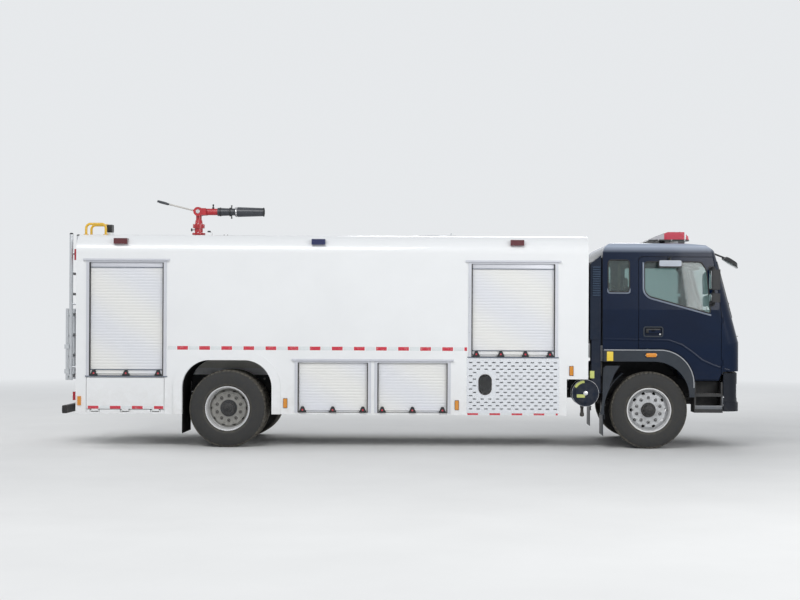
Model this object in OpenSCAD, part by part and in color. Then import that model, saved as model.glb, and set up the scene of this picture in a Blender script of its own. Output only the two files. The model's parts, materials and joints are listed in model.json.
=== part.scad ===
// Two-axle fire truck with a cab over the engine, an equipment and water body and a roof monitor.
// Millimetres. +X points forward, +Y to the left and +Z up. The origin is on the ground, under the
// middle of the truck.

/* [Overall] */
// Front axle to the foremost point
front_overhang = 1321; // [1290:1:1350]
// Distance between the axles
wheelbase = 5747; // [5650:1:5800]
// Rear bumper to rear axle
rear_overhang = 2252; // [2150:1:2350]

/* [Wheels] */
// Outer diameter of a tyre
tyre_d = 1054; // [1020:2:1080]
// Width of a tyre
tyre_w = 279; // [260:1:290]
// Diameter over the rim flanges
rim_d = 606; // [590:2:620]
// Track of the front wheels
track_f = 2030; // [2000:2:2050]
// Track of the rear twin wheels, between the middles of the twins
track_r = 1830; // [1810:2:1840]
// Distance between the middles of twin tyres
twin_pitch = 318; // [310:1:330]
// Depth of the wheel disc dish, from the rim edge
dish = 128; // [110:1:140]
// Diameter of the axle spindles
spindle_d = 90; // [80:1:100]
// Radial clearance between spindle and hub
hub_clear = 1; // [0.6:0.1:2]
// Number of hand holes, and of wheel nuts
holes_n = 10; // [8:1:12]

/* [Chassis] */
// Height of the top of the frame rails
frame_top = 960; // [950:5:975]
// Outer width over the frame rails
frame_w = 860; // [840:5:880]
// Height of a rail
rail_h = 230; // [210:5:240]
// Width of a rail flange
rail_flange = 80; // [70:1:90]
// Thickness of a rail
rail_t = 9; // [7:1:12]
// Diameter of the rear axle tube
axle_tube_d = 150; // [130:2:160]
// Width of a leaf spring
leaf_w = 78; // [70:1:80]
// Thickness of one leaf
leaf_t = 16; // [12:1:18]

/* [Body] */
// Width of the equipment body
body_w = 2490; // [2450:10:2520]
// Height of its roof above the ground
body_top = 2897; // [2850:5:2950]
// Height of the lower edge of its side panels
body_bottom = 456; // [440:2:480]
// Rear bumper face to the rear wall
body_setback = 197; // [170:1:220]
// Thickness of its walls
wall_t = 40; // [30:1:50]
// Radius of the roof's side edges
roof_r = 250; // [200:5:280]
// Gap between the body and the cab
cab_gap = 198; // [180:1:230]

/* [Rear wheel arch] */
// Half the length of the arch opening
arch_half = 608; // [600:2:640]
// Height of the top of the arch opening
arch_top = 1188; // [1170:2:1220]
// Radius of its upper corners
arch_r = 372; // [340:2:400]
// Width of the raised border round it
arch_border = 118; // [90:2:130]
// How far the border stands out
arch_proud = 18; // [10:1:30]

/* [Roller shutters] */
// Pitch of the slats
slat_pitch = 39; // [36:0.5:44]
// Depth of the curtain behind the wall's face
shutter_set = 24; // [18:1:30]
// Thickness of the curtain
slat_t = 14; // [10:1:16]
// Width of the guide rails
guide_w = 46; // [40:1:52]
// Height of the bottom bars
bar_h = 84; // [76:1:92]
// Roof to the upper edge of the tall shutters
tall_drop = 362; // [340:2:400]
// Height of the lower edge of the rear tall shutter
rear_sill = 966; // [950:2:980]
// Height of the lower edge of the pump shutter
pump_sill = 1246; // [1230:2:1260]
// Height of the upper edge of the low shutters
low_top = 1186; // [1160:2:1190]
// Height of the lower edge of the low shutters
low_sill = 481; // [476:1:500]

/* [Cab] */
// Width of the cab
cab_w = 2440; // [2400:10:2460]
// Height of the cab roof
cab_top = 2812; // [2780:2:2840]
// Front axle to the back wall
cab_back = 644; // [630:1:660]
// Thickness of the cab walls
cab_t = 42; // [36:1:50]
// How far the front bows forward at the middle
front_bow = 90; // [70:5:130]
// Radius of the front corners, seen from above
cab_corner_r = 190; // [150:5:220]
// Gap round a door
door_gap = 7; // [6:0.5:10]
// Thickness of the window glass
glass_t = 6; // [5:0.5:8]

/* [Roof monitor] */
// Rear wall to the monitor's swivel axis
monitor_x = 1450; // [1400:10:1500]
// Height of the monitor's elbow above the body roof
monitor_h = 392; // [370:2:420]
// Diameter of its pipe
pipe_d = 96; // [88:1:104]
// Length of the barrel ahead of the elbow
barrel_l = 866; // [820:2:900]

/* [Ladder] */
// Distance from the rear wall to the rails' axis
ladder_off = 110; // [100:1:120]
// Distance between the rails' axes
ladder_w = 380; // [340:5:420]
// Diameter of a rail
ladder_rail_d = 50; // [44:1:54]
// Pitch of the rungs
rung_pitch = 280; // [260:5:300]

/* [Hidden] */
tyre_r = tyre_d / 2;
rim_r = rim_d / 2;
tall_top = body_top - tall_drop;
rear_x = -(rear_overhang + wheelbase + front_overhang) / 2;
axle_r_x = rear_x + rear_overhang;
axle_f_x = axle_r_x + wheelbase;
front_x = axle_f_x + front_overhang;
body_rear_x = rear_x + body_setback;
cab_rear_x = axle_f_x - cab_back;
body_front_x = cab_rear_x - cab_gap;
body_l = body_front_x - body_rear_x;
body_side_y = body_w / 2;
cab_side_y = cab_w / 2;
RIGHT = -1;
LEFT = 1;

// Turns a shape drawn in the X-Z plane into a plate from y0 to y1
module plate_y(y0, y1) {
  translate([0, y1, 0]) rotate([90, 0, 0]) linear_extrude(y1 - y0) children();
}

// Turns a shape drawn in the Y-Z plane into a plate from x0 to x1
module plate_x(x0, x1) {
  translate([x0, 0, 0]) rotate([90, 0, 90]) linear_extrude(x1 - x0) children();
}

// A shape drawn from above, from z0 to z1
module plate_z(z0, z1) {
  translate([0, 0, z0]) linear_extrude(z1 - z0) children();
}

module box(lo, hi) {
  translate(lo) cube(hi - lo);
}

// A rod along Y
module rod_y(d, y0, y1) {
  translate([0, y0, 0]) rotate([-90, 0, 0]) cylinder(d = d, h = y1 - y0, $fn = 48);
}

// A rod along X
module rod_x(d, x0, x1) {
  translate([x0, 0, 0]) rotate([0, 90, 0]) cylinder(d = d, h = x1 - x0, $fn = 48);
}

// A rectangle from lo to hi with round corners
module round_rect(lo, hi, r) {
  difference() {
    translate(lo) square(hi - lo);
    for (c = [[lo[0], lo[1], 0], [hi[0], lo[1], 90], [hi[0], hi[1], 180], [lo[0], hi[1], 270]])
      translate([c[0], c[1]]) rotate(c[2]) corner_cut(r);
  }
}

// What a round corner of radius r takes off a square one
module corner_cut(r) {
  difference() {
    translate([-r, -r]) square(2 * r);
    translate([r, r]) circle(r, $fn = 64);
    translate([-2 * r, r]) square(4 * r);
    translate([r, -2 * r]) square(4 * r);
  }
}

// Both sides of the truck: the child is drawn for the left side
module both_sides() {
  children();
  mirror([0, 1, 0]) children();
}

// The child is drawn for the left side, and mirrored for the right
module on_side(side) {
  if (side == LEFT) children();
  else mirror([0, 1, 0]) children();
}

// Chassis frame
frame_rear_x = body_rear_x + 30;
frame_front_x = axle_f_x + 900;
frame_y = frame_w / 2;
frame_bottom = frame_top - rail_h;
// Crossmembers by their distance from the rear end of the frame
CROSS_X = [60, 1300, 2780, 4100, 5400];

module rail_section() {
  difference() {
    translate([frame_y - rail_flange, frame_bottom]) square([rail_flange, rail_h]);
    translate([frame_y - rail_flange - 1, frame_bottom + rail_t])
      square([rail_flange - rail_t + 1, rail_h - 2 * rail_t]);
  }
}

module frame_rails() {
  color("dimgray") {
    both_sides() plate_x(frame_rear_x, frame_front_x) rail_section();
    for (x = CROSS_X)
      difference() {
        box([frame_rear_x + x, -frame_y + rail_t, frame_bottom + 50],
            [frame_rear_x + x + 90, frame_y - rail_t, frame_top - 30]);
        box([frame_rear_x + x + rail_t, -frame_y, frame_bottom + 50 + rail_t],
            [frame_rear_x + x + 91, frame_y, frame_top - 30 - rail_t]);
      }
    box([frame_front_x, -frame_y, frame_bottom], [frame_front_x + 12, frame_y, frame_top]);
  }
}

// Engine, gearbox and propeller shaft
engine_x0 = axle_f_x - 560;
engine_x1 = axle_f_x + 620;
engine_z0 = 640;
engine_z1 = 1290;
engine_half = 330;
gearbox_l = 900;
shaft_z = 760;
shaft_d = 110;

module engine_block() {
  color("gray") union() {
    box([engine_x0, -engine_half, engine_z0], [engine_x1, engine_half, engine_z1]);
    both_sides() box([engine_x0 + 200, engine_half, frame_bottom + 40],
                     [engine_x0 + 330, frame_y - rail_t, frame_bottom + 100]);
  }
}

pinion_l = 380;
diff_d = 430;

module drive_line() {
  shaft_x0 = axle_r_x + pinion_l - 15;
  shaft_x1 = engine_x0 - gearbox_l;
  drop = shaft_z - tyre_r;
  run = shaft_x1 - shaft_x0;
  color("silver") union() {
    translate([0, 0, shaft_z]) rod_x(360, engine_x0 - 260, engine_x0);
    translate([0, 0, shaft_z]) rod_x(250, shaft_x1, engine_x0 - 250);
    translate([shaft_x0, 0, tyre_r]) rotate([0, 90 - atan(drop / run), 0])
      cylinder(d = shaft_d, h = norm([run, drop]) + 30, $fn = 48);
  }
}

// Rear axle: tube, differential housing and spring seats
spring_y = frame_y - rail_flange / 2;
seat_r_z = tyre_r + axle_tube_d / 2;
drum_d = 410;
drum_w = 190;

module rear_axle() {
  color("dimgray") translate([axle_r_x, 0, 0]) {
    difference() {
      union() {
        translate([0, 0, tyre_r]) rod_y(axle_tube_d, -hub_r_y + drum_w + 14, hub_r_y - drum_w - 14);
        translate([0, 0, tyre_r]) rod_y(spindle_d, -hub_r_y, hub_r_y);
        translate([0, 0, tyre_r]) rotate([0, 90, 0]) cylinder(d = diff_d, h = 150, center = true, $fn = 96);
        translate([0, 0, tyre_r]) rotate([0, 90, 0])
          cylinder(d1 = diff_d - 60, d2 = 150, h = pinion_l, $fn = 96);
        both_sides() box([-75, spring_y - leaf_w / 2, tyre_r], [75, spring_y + leaf_w / 2, seat_r_z]);
      }
      translate([pinion_l, 0, tyre_r]) rotate([0, 90, 0]) cylinder(d = shaft_d + 20, h = 60, center = true);
    }
  }
}

// Front axle: a dropped beam with eyes for the kingpins
kingpin_y = track_f / 2 - 190;
kingpin_d = 50;
eye_h = 110;
beam_z = 400;
seat_f_z = beam_z + 90;

module front_axle() {
  color("dimgray") translate([axle_f_x, 0, 0]) difference() {
    union() {
      box([-45, -spring_y - 110, beam_z], [45, spring_y + 110, seat_f_z]);
      both_sides() plate_x(-40, 40)
        polygon([[spring_y + 60, beam_z], [kingpin_y - 60, tyre_r - eye_h / 2],
                 [kingpin_y, tyre_r - eye_h / 2], [kingpin_y, tyre_r + eye_h / 2],
                 [spring_y + 100, seat_f_z]]);
      both_sides() translate([0, kingpin_y, tyre_r - eye_h / 2]) cylinder(d = 96, h = eye_h, $fn = 64);
      both_sides() box([-75, spring_y - leaf_w / 2, beam_z + 40], [75, spring_y + leaf_w / 2, seat_f_z]);
    }
    both_sides() translate([0, kingpin_y, 0])
      cylinder(d = kingpin_d + 2 * hub_clear, h = 2 * tyre_r, $fn = 64);
  }
}

// Steering knuckle: fork, kingpin, brake plate and spindle
fork_gap = 6;
plate_y_off = 78;

module knuckle(side) {
  color("dimgray") on_side(side) translate([axle_f_x, 0, tyre_r]) {
    union() {
      translate([0, kingpin_y, -eye_h / 2 - 40]) cylinder(d = kingpin_d, h = eye_h + 80, $fn = 64);
      for (z = [-eye_h / 2 - fork_gap - 30, eye_h / 2 + fork_gap])
        box([-46, kingpin_y - 44, z], [46, kingpin_y + plate_y_off, z + 30]);
      box([-46, kingpin_y + plate_y_off - 22, -eye_h / 2 - fork_gap - 30],
          [46, kingpin_y + plate_y_off, eye_h / 2 + fork_gap + 30]);
      rod_y(spindle_d, kingpin_y + plate_y_off - 10, hub_f_y);
      rod_y(drum_d - 20, kingpin_y + plate_y_off - 1, kingpin_y + plate_y_off + 7);
    }
  }
}

// Leaf spring packs, drawn in the X-Z plane as arcs of one radius
// chord: half the length of the main leaf, n: number of leaves, z: underside of the pack,
// rise: how far its ends bow up
module leaf_pack(x, z, chord, n, rise) {
  r = (chord * chord + rise * rise) / (2 * rise);
  translate([x, 0, 0]) plate_y(spring_y - leaf_w / 2, spring_y + leaf_w / 2)
    for (k = [0:n - 1])
      intersection() {
        translate([0, z + k * leaf_t + r]) difference() {
          circle(r, $fn = 180);
          circle(r - leaf_t, $fn = 180);
        }
        translate([-chord * (0.35 + 0.65 * (k + 1) / n), z])
          square([2 * chord * (0.35 + 0.65 * (k + 1) / n), rise + n * leaf_t + 1]);
      }
}

// Columns: middle, underside, half length, leaves
SPRINGS = [[axle_f_x, seat_f_z, 850, 5], [axle_r_x, seat_r_z, 760, 5]];
hanger_l = 70;

module leaf_springs() {
  color("dimgray") both_sides() for (s = SPRINGS) {
    top = min(s[1] + s[3] * leaf_t + 100, frame_bottom - 10);
    union() {
      leaf_pack(s[0], s[1], s[2], s[3], top - s[1] - s[3] * leaf_t);
      for (e = [-1, 1])
        box([s[0] + e * s[2] - hanger_l / 2, spring_y - leaf_w / 2, top - leaf_t],
            [s[0] + e * s[2] + hanger_l / 2, spring_y + leaf_w / 2, frame_bottom]);
    }
  }
}

// Wheel rims. The profile is drawn with the radius along X and the axle along Y, the outer edge
// of the rim at y = 0 and the vehicle's middle towards -y.
rim_w = 240;
rim_t = 10;
bead_r = rim_r - 20;
disc_t = 14;
bolt_circle_r = 168;
hand_hole_r = 222;
hand_hole_d = 46;
hub_r = 88;
hub_len = 120;
nut_d = 32;
// Depth of the front discs behind the rim's outer edge
front_face = 62;

// dished: the disc lies deep in the rim, as on twin wheels; else it bows outwards
module rim_profile(dished) {
  face = dished ? -dish : -front_face;
  union() {
    difference() {
      translate([bead_r - 34, -rim_w]) square([rim_r - bead_r + 34, rim_w]);
      translate([bead_r - 35, -rim_w - 1]) square([25, rim_w + 2]);
      translate([bead_r, -rim_w + 16]) square([40, rim_w - 32]);
      polygon([[bead_r - 35, 1], [bead_r + 6, 1], [bead_r - 10, -36], [bead_r - 35, -36]]);
    }
    polygon([[bead_r - 9, face - 70], [bead_r - 9, face - 70 + disc_t * 2],
             [hand_hole_r + 10, face], [spindle_d / 2 + hub_clear + 30, face],
             [spindle_d / 2 + hub_clear + 30, face - disc_t], [hand_hole_r, face - disc_t]]);
  }
}

module rim(dished) {
  face = dished ? -dish : -front_face;
  difference() {
    union() {
      rotate_extrude($fn = 180) rim_profile(dished);
      translate([0, 0, face - disc_t - 60]) cylinder(r = hub_r, h = hub_len + 20, $fn = 96);
      translate([0, 0, face + hub_len - 54]) cylinder(r = hub_r - 18, h = 26, $fn = 96);
      for (k = [0:holes_n - 1])
        rotate(360 / holes_n * (k + 0.5)) translate([bolt_circle_r, 0, face - 1])
          cylinder(d = nut_d, h = 31, $fn = 6);
    }
    for (k = [0:holes_n - 1])
      rotate(360 / holes_n * k) translate([hand_hole_r + 8, 0, face - 100])
        cylinder(d = hand_hole_d, h = 140, $fn = 48);
    translate([0, 0, face - disc_t - 61])
      cylinder(d = spindle_d + 2 * hub_clear, h = 60 + disc_t + 1 + hub_cap, $fn = 96);
  }
}

// Brake drum behind the disc, open towards the middle of the truck
drum_t = 12;
module drum(face, depth) {
  translate([0, 0, face - disc_t - depth]) difference() {
    cylinder(d = drum_d + 2 * drum_t, h = depth, $fn = 120);
    translate([0, 0, -1]) cylinder(d = drum_d, h = depth - 10, $fn = 120);
    translate([0, 0, -1]) cylinder(r = hub_r - 2, h = depth + 2, $fn = 96);
  }
}

hub_cap = 8;
front_drum = 110;
rear_drum = 150;

// Puts a wheel, drawn with its outer rim edge at z = 0, on the left or right of an axle
module wheel_at(x, edge_y, side) {
  on_side(side) translate([x, edge_y, tyre_r]) rotate([-90, 0, 0]) children();
}

front_edge_y = track_f / 2 + rim_w / 2;
rear_edge_y = track_r / 2 + twin_pitch / 2 + rim_w / 2;
// Ends of the spindles, a little short of the bottoms of the hub bores
hub_f_y = front_edge_y - front_face + hub_cap - 3;
hub_r_y = rear_edge_y - dish + hub_cap - 3;

module rim_front(side) {
  color("silver") wheel_at(axle_f_x, front_edge_y, side) union() {
    rim(false);
    drum(-front_face, front_drum);
  }
}

module rim_rear(side) {
  color("silver") wheel_at(axle_r_x, rear_edge_y, side) union() {
    rim(true);
    drum(-dish, rear_drum);
    translate([0, 0, -twin_pitch]) inner_rim();
  }
}

// The inner twin: a plain rim ring whose disc meets the outer one's
module inner_rim() {
  web_r = drum_d / 2 + drum_t - 1;
  web_y = twin_pitch - dish - disc_t / 2;
  rotate_extrude($fn = 180) union() {
    difference() {
      translate([bead_r - 34, -rim_w]) square([rim_r - bead_r + 34, rim_w]);
      translate([bead_r - 35, -rim_w - 1]) square([25, rim_w + 2]);
      translate([bead_r, -rim_w + 16]) square([40, rim_w - 32]);
    }
    polygon([[web_r, -44], [bead_r - 8, -44], [bead_r - 8, -30], [web_r + disc_t, -30],
             [web_r + disc_t, web_y], [web_r, web_y]]);
  }
}

// Tyre section: columns are the distance from the middle plane and the radius
bead_half = (rim_w / 2 - 16.5) / tyre_w;
TYRE_SECTION = [[bead_half, bead_r + 0.4], [bead_half, rim_r + 1], [0.46, rim_r + 18], [0.5, tyre_r - 125],
                [0.48, tyre_r - 66], [0.42, tyre_r - 14], [0.36, tyre_r]];
module tyre_ring() {
  n = len(TYRE_SECTION);
  rotate_extrude($fn = 180)
    polygon(concat([for (p = TYRE_SECTION) [p[1], p[0] * tyre_w]],
                   [for (k = [n - 1:-1:0]) [TYRE_SECTION[k][1], -TYRE_SECTION[k][0] * tyre_w]]));
}

module tyre_front(side) {
  color([0.1, 0.1, 0.1]) wheel_at(axle_f_x, track_f / 2, side) tyre_ring();
}

module tyres_rear(side) {
  color([0.1, 0.1, 0.1]) for (t = [-1, 1])
    wheel_at(axle_r_x, track_r / 2 + t * twin_pitch / 2, side) tyre_ring();
}

// Equipment body. Places along it are measured from the rear wall's outer face.
eave_z = body_top - roof_r;
inner_y = body_side_y - wall_t;
skin_gap = 0.5;
floor_z = frame_top + 60;
floor_t = 40;
flap_gap = 6;
// Openings in the side walls. Columns: rear edge, front edge, lower edge, upper edge
SHUTTER_HOLES = [[141, 1232, rear_sill, tall_top], [2975, 4011, low_sill, low_top],
                 [4057, 5092, low_sill, low_top], [5330, 6547, pump_sill, tall_top]];
FLAP_HOLE = [141, 1205, body_bottom + 22, rear_sill - 18];
PANEL_HOLE = [5330, 6547, 500, pump_sill - 34];
// Opening in the rear wall. Columns: right edge, left edge, lower edge, upper edge
REAR_HOLE = [-600, 600, 1120, 2440];
notch_l = 290;
notch_z = 949;
shutter_y = body_side_y - shutter_set;

module hole_2d(h) {
  translate([body_rear_x + h[0], h[2]]) square([h[1] - h[0], h[3] - h[2]]);
}

// The wheel arch, grown by g on every side, down to the height z
module arch_2d(g, z) {
  half = arch_half + g;
  r = arch_r + g;
  top = arch_top + g;
  translate([axle_r_x, 0]) {
    translate([-half, z]) square([2 * half, top - r - z]);
    translate([-(half - r), z]) square([2 * (half - r), top - z]);
    for (e = [-1, 1]) translate([e * (half - r), top - r]) circle(r, $fn = 128);
  }
}

module body_side(side) {
  color("white") on_side(side) union() {
    difference() {
      union() {
        box([body_rear_x, inner_y, body_bottom], [body_front_x, body_side_y, eave_z]);
        plate_y(body_side_y - 1, body_side_y + arch_proud) arch_2d(arch_border, body_bottom);
      }
      plate_y(inner_y - 1, body_side_y + 100) {
        for (h = SHUTTER_HOLES) hole_2d(h);
        hole_2d(FLAP_HOLE);
        hole_2d(PANEL_HOLE);
        arch_2d(0, 0);
      }
      box([body_front_x - notch_l, inner_y - 1, 0], [body_front_x + 1, body_side_y + 1, notch_z]);
    }
    for (x = FLAP_HINGE_X) translate([body_rear_x + x, flap_hinge_y, flap_hinge_z]) {
      rod_x(hinge_pin_d, -62, 62);
      for (e = [-62, 50]) box([e, -8, FLAP_HOLE[2] - 1 - flap_hinge_z], [e + 12, 8, 8]);
    }
  }
}

// Outline of the body above the eaves: half width y, top z, corner radius r, from height z0
module roof_outline(y, z, r, z0) {
  translate([-y, z0]) square([2 * y, z - r - z0]);
  translate([-(y - r), z0]) square([2 * (y - r), z - z0]);
  for (e = [-1, 1]) translate([e * (y - r), z - r]) circle(r, $fn = 128);
}

module body_roof() {
  color("white") union() {
   difference() {
    plate_x(body_rear_x, body_front_x) difference() {
      roof_outline(body_side_y, body_top, roof_r, eave_z - 400);
      translate([0, -wall_t]) roof_outline(inner_y, body_top, roof_r - wall_t, eave_z - 400);
      translate([-body_w, 0]) square([2 * body_w, eave_z]);
    }
    translate([body_rear_x + manhole_x, 0, 0]) cylinder(d = manhole_d - 2, h = body_top + 10, $fn = 96);
   }
   manhole_rim();
  }
}

module end_wall_2d() {
  r = roof_r - wall_t;
  y = inner_y - skin_gap;
  intersection() {
    translate([0, -wall_t - skin_gap]) roof_outline(y, body_top, r, 0);
    translate([-body_w, body_bottom]) square([2 * body_w, body_top]);
  }
}

module body_end_walls() {
  color("white") {
    plate_x(body_rear_x, body_rear_x + wall_t) difference() {
      end_wall_2d();
      translate([REAR_HOLE[0], REAR_HOLE[2]])
        square([REAR_HOLE[1] - REAR_HOLE[0], REAR_HOLE[3] - REAR_HOLE[2]]);
      translate([-frame_y - 20, 0]) square([2 * frame_y + 40, frame_top]);
    }
    plate_x(body_front_x - wall_t, body_front_x) difference() {
      end_wall_2d();
      translate([-body_w, 0]) square([2 * body_w, floor_z]);
    }
  }
}

// Floor on its subframe, with the lockers that hang beside the frame
liner_t = 6;
liner_y = 560;
locker_y = frame_y + 40;
locker_t = 8;
// Lockers by their rear and front ends
LOCKERS = [[wall_t, rear_overhang - body_setback - arch_half - liner_t - 4],
           [rear_overhang - body_setback + arch_half + liner_t + 4, body_l - notch_l]];

module body_floor() {
  color("gainsboro") union() {
    difference() {
      box([body_rear_x + wall_t, -inner_y, floor_z], [body_front_x - wall_t, inner_y, floor_z + floor_t]);
      both_sides() plate_y(liner_y - 1, inner_y + 1) arch_2d(liner_t, 0);
    }
    both_sides() box([body_rear_x + wall_t, frame_y - rail_flange, frame_top],
                     [body_front_x - wall_t, frame_y, floor_z + 1]);
    both_sides() for (l = LOCKERS) difference() {
      box([body_rear_x + l[0], locker_y, body_bottom], [body_rear_x + l[1], inner_y, floor_z + 1]);
      box([body_rear_x + l[0] + locker_t, locker_y + locker_t, body_bottom + locker_t],
          [body_rear_x + l[1] - locker_t, inner_y + 1, floor_z]);
    }
  }
}

// Water tank: a shell, narrow between the wheel housings, open under the manhole
tank_x0 = 1290;
tank_x1 = 5270;
tank_y = 1060;
tank_top = 2560;
tank_t = 12;

module tank_solid(g) {
  x0 = body_rear_x + tank_x0 + g;
  x1 = body_rear_x + tank_x1 - g;
  box([x0, -liner_y + 20 + g, floor_z + floor_t + g], [x1, liner_y - 20 - g, tank_top - g]);
  box([x0, -tank_y + g, arch_top + 40 + g], [x1, tank_y - g, tank_top - g]);
}

module water_tank() {
  color("lightgray") difference() {
    tank_solid(0);
    tank_solid(tank_t);
    translate([body_rear_x + manhole_x, 0, tank_top - 100])
      cylinder(d = manhole_d - 2 * manhole_neck_t, h = 200, $fn = 96);
  }
}

// Frames round the shutters, with a drip rail above
frame_proud = 10;
drip_over = 42;
drip_h = 24;
drip_out = 34;

module shutter_frame(h) {
  x0 = body_rear_x + h[0];
  x1 = body_rear_x + h[1];
  union() {
    for (x = [x0, x1 - guide_w]) difference() {
      box([x, inner_y, h[2]], [x + guide_w, body_side_y + frame_proud, h[3]]);
      box([x == x0 ? x0 + guide_w - 18 : x - 1, inner_y - 1, h[2] - 1],
          [x == x0 ? x0 + guide_w + 1 : x + 18, shutter_y + 2, h[3] + 1]);
    }
    box([x0 + 1, body_side_y, h[3] - drip_h], [x1 - 1, body_side_y + frame_proud, h[3] + 1]);
    box([x0 - drip_over, body_side_y, h[3]], [x1 + drip_over, body_side_y + drip_out, h[3] + 8]);
    box([x0 - drip_over, body_side_y, h[3]], [x1 + drip_over, body_side_y + 8, h[3] + drip_h]);
  }
}

// The rear shutter's frame is the same one, turned to face backwards
module turned_to_rear() {
  translate([body_rear_x + body_side_y, 0, 0]) rotate([0, 0, 90])
    translate([-body_rear_x, 0, 0]) children();
}

module shutter_frames() {
  color("lightsteelblue") {
    both_sides() for (h = SHUTTER_HOLES) shutter_frame(h);
    turned_to_rear() shutter_frame(REAR_HOLE);
  }
}

// A roller curtain: its section is drawn across the slats and drawn out along the opening
module shutter(h) {
  x0 = body_rear_x + h[0] + guide_w - 17;
  x1 = body_rear_x + h[1] - guide_w + 17;
  z0 = h[2] + bar_h;
  n = floor((h[3] - 1 - z0) / slat_pitch);
  top = h[3] - 1;
  union() {
    plate_x(x0, x1) polygon(concat(
      [[shutter_y - slat_t, z0], [shutter_y - slat_t, top], [shutter_y - 3, top]],
      [for (k = [n - 1:-1:0], c = [[-3, 0.99], [0, 0.82], [0, 0.2], [-3, 0.03]])
        [shutter_y + c[0], z0 + (k + c[1]) * slat_pitch]]));
    box([x0, shutter_y - slat_t, h[2] + 3], [x1, shutter_y - 1, z0 + 4]);
    box([x0 + 24, shutter_y - 2, h[2] + 8], [x1 - 24, shutter_y + 20, h[2] + bar_h - 12]);
    translate([0, shutter_y + 40, h[2] + bar_h / 2]) rod_x(18, x0 + 40, x1 - 40);
    for (x = latch_places(x0, x1)) latch(x, h[2]);
  }
}

latch_w = 46;
latch_pitch = 400;
// Where the bottom bar's latches stand: two near its ends and the rest shared out between them
function latch_places(x0, x1) = let(n = ceil((x1 - x0 - 240) / latch_pitch))
  [for (k = [0:n]) x0 + 80 + (x1 - x0 - 160) * k / n];

module latch(x, z) {
  translate([x, 0, z + 8]) plate_y(shutter_y + 19, shutter_y + 52) difference() {
    polygon([[-latch_w, 0], [latch_w, 0], [14, bar_h - 12], [-14, bar_h - 12]]);
    translate([0, 26]) circle(11, $fn = 48);
  }
}

module shutters() {
  color("gainsboro") {
    both_sides() for (h = SHUTTER_HOLES) shutter(h);
    turned_to_rear() shutter(REAR_HOLE);
  }
}

// Fold-down step below the rear shutter, hinged along its lower edge
flap_t = 30;
flap_hinge_z = FLAP_HOLE[2] + 20;
flap_hinge_y = body_side_y - 14;

hinge_pin_d = 10;
FLAP_HINGE_X = [FLAP_HOLE[0] + 120, (FLAP_HOLE[0] + FLAP_HOLE[1]) / 2, FLAP_HOLE[1] - 120];
module step_flap(side) {
  color("white") on_side(side) union() {
    difference() {
      box([body_rear_x + FLAP_HOLE[0] + flap_gap, body_side_y - flap_t, flap_hinge_z + 20],
          [body_rear_x + FLAP_HOLE[1] - flap_gap, body_side_y, FLAP_HOLE[3] - flap_gap]);
      box([body_rear_x + FLAP_HOLE[0] + 60, body_side_y - flap_t - 1, FLAP_HOLE[2] + 90],
          [body_rear_x + FLAP_HOLE[1] - 60, body_side_y - flap_t + 12, FLAP_HOLE[3] - 60]);
    }
    for (x = FLAP_HINGE_X) translate([body_rear_x + x, flap_hinge_y, flap_hinge_z]) difference() {
      union() {
        rod_x(22, -45, 45);
        box([-45, -11, 0], [45, 11, 21]);
      }
      rod_x(hinge_pin_d + 2 * hub_clear, -46, 46);
    }
  }
}

// Perforated panel under the pump shutter: staggered slots and an oval port
slot_l = 46;
slot_h = 14;
slot_px = 104.5;
slot_pz = 45;
panel_t = 4;
port_x = 5560;
port_z = 872;
port_w = 162;
port_h = 263;
panel_margin = 58;

// True where a slot at (x, z) keeps clear of the port
function clear_of_port(x, z) = abs(x - port_x) > port_w / 2 + 56 || abs(z - port_z) > port_h / 2 + 34;

module perforated_panels() {
  x_mid = (PANEL_HOLE[0] + PANEL_HOLE[1]) / 2;
  rows = floor((PANEL_HOLE[3] - PANEL_HOLE[2] - 80) / slot_pz);
  cols = floor((PANEL_HOLE[1] - PANEL_HOLE[0] - 60) / slot_px);
  color("lightgray") both_sides() difference() {
    box([body_rear_x + PANEL_HOLE[0] - 20, body_side_y, PANEL_HOLE[2] - 16],
        [body_rear_x + PANEL_HOLE[1] + 20, body_side_y + panel_t, PANEL_HOLE[3] + 16]);
    translate([body_rear_x, 0]) plate_y(body_side_y - 1, body_side_y + panel_t + 1) {
      for (r = [0:rows], c = [0:cols - (r % 2)]) {
        x = x_mid + (c - (cols - (r % 2)) / 2) * slot_px;
        z = (PANEL_HOLE[2] + PANEL_HOLE[3]) / 2 + (r - rows / 2) * slot_pz;
        if (clear_of_port(x, z))
          translate([x - slot_l / 2, z - slot_h / 2]) square([slot_l, slot_h]);
      }
      for (e = [-1, 1]) translate([port_x, port_z + e * (port_h - port_w) / 2])
        circle(d = port_w, $fn = 96);
      translate([port_x - port_w / 2, port_z - (port_h - port_w) / 2]) square([port_w, port_h - port_w]);
    }
  }
}

// Rear wheel housings and mud flaps
flap_mud_t = 8;
mud_flap_bottom = 190;

module rear_mudguards() {
  color([0.12, 0.12, 0.12]) both_sides() union() {
    plate_y(liner_y, inner_y) difference() {
      arch_2d(liner_t, body_bottom);
      arch_2d(0, 0);
      translate([axle_r_x - arch_half, 0]) square([2 * arch_half, body_bottom]);
    }
    difference() {
      box([axle_r_x - arch_half - liner_t - 2, liner_y, mud_flap_bottom],
          [axle_r_x - arch_half - liner_t - 2 + flap_mud_t, inner_y, body_bottom + 60]);
    }
  }
}

// Rear bumper bar on two arms from the frame, with a tow jaw between them
bumper_r_z0 = 452;
bumper_r_h = 108;
bumper_r_t = 66;
bumper_r_half = body_side_y - 55;
arm_w = 60;
tow_pin_d = 40;
tow_jaw_z = 620;

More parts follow.
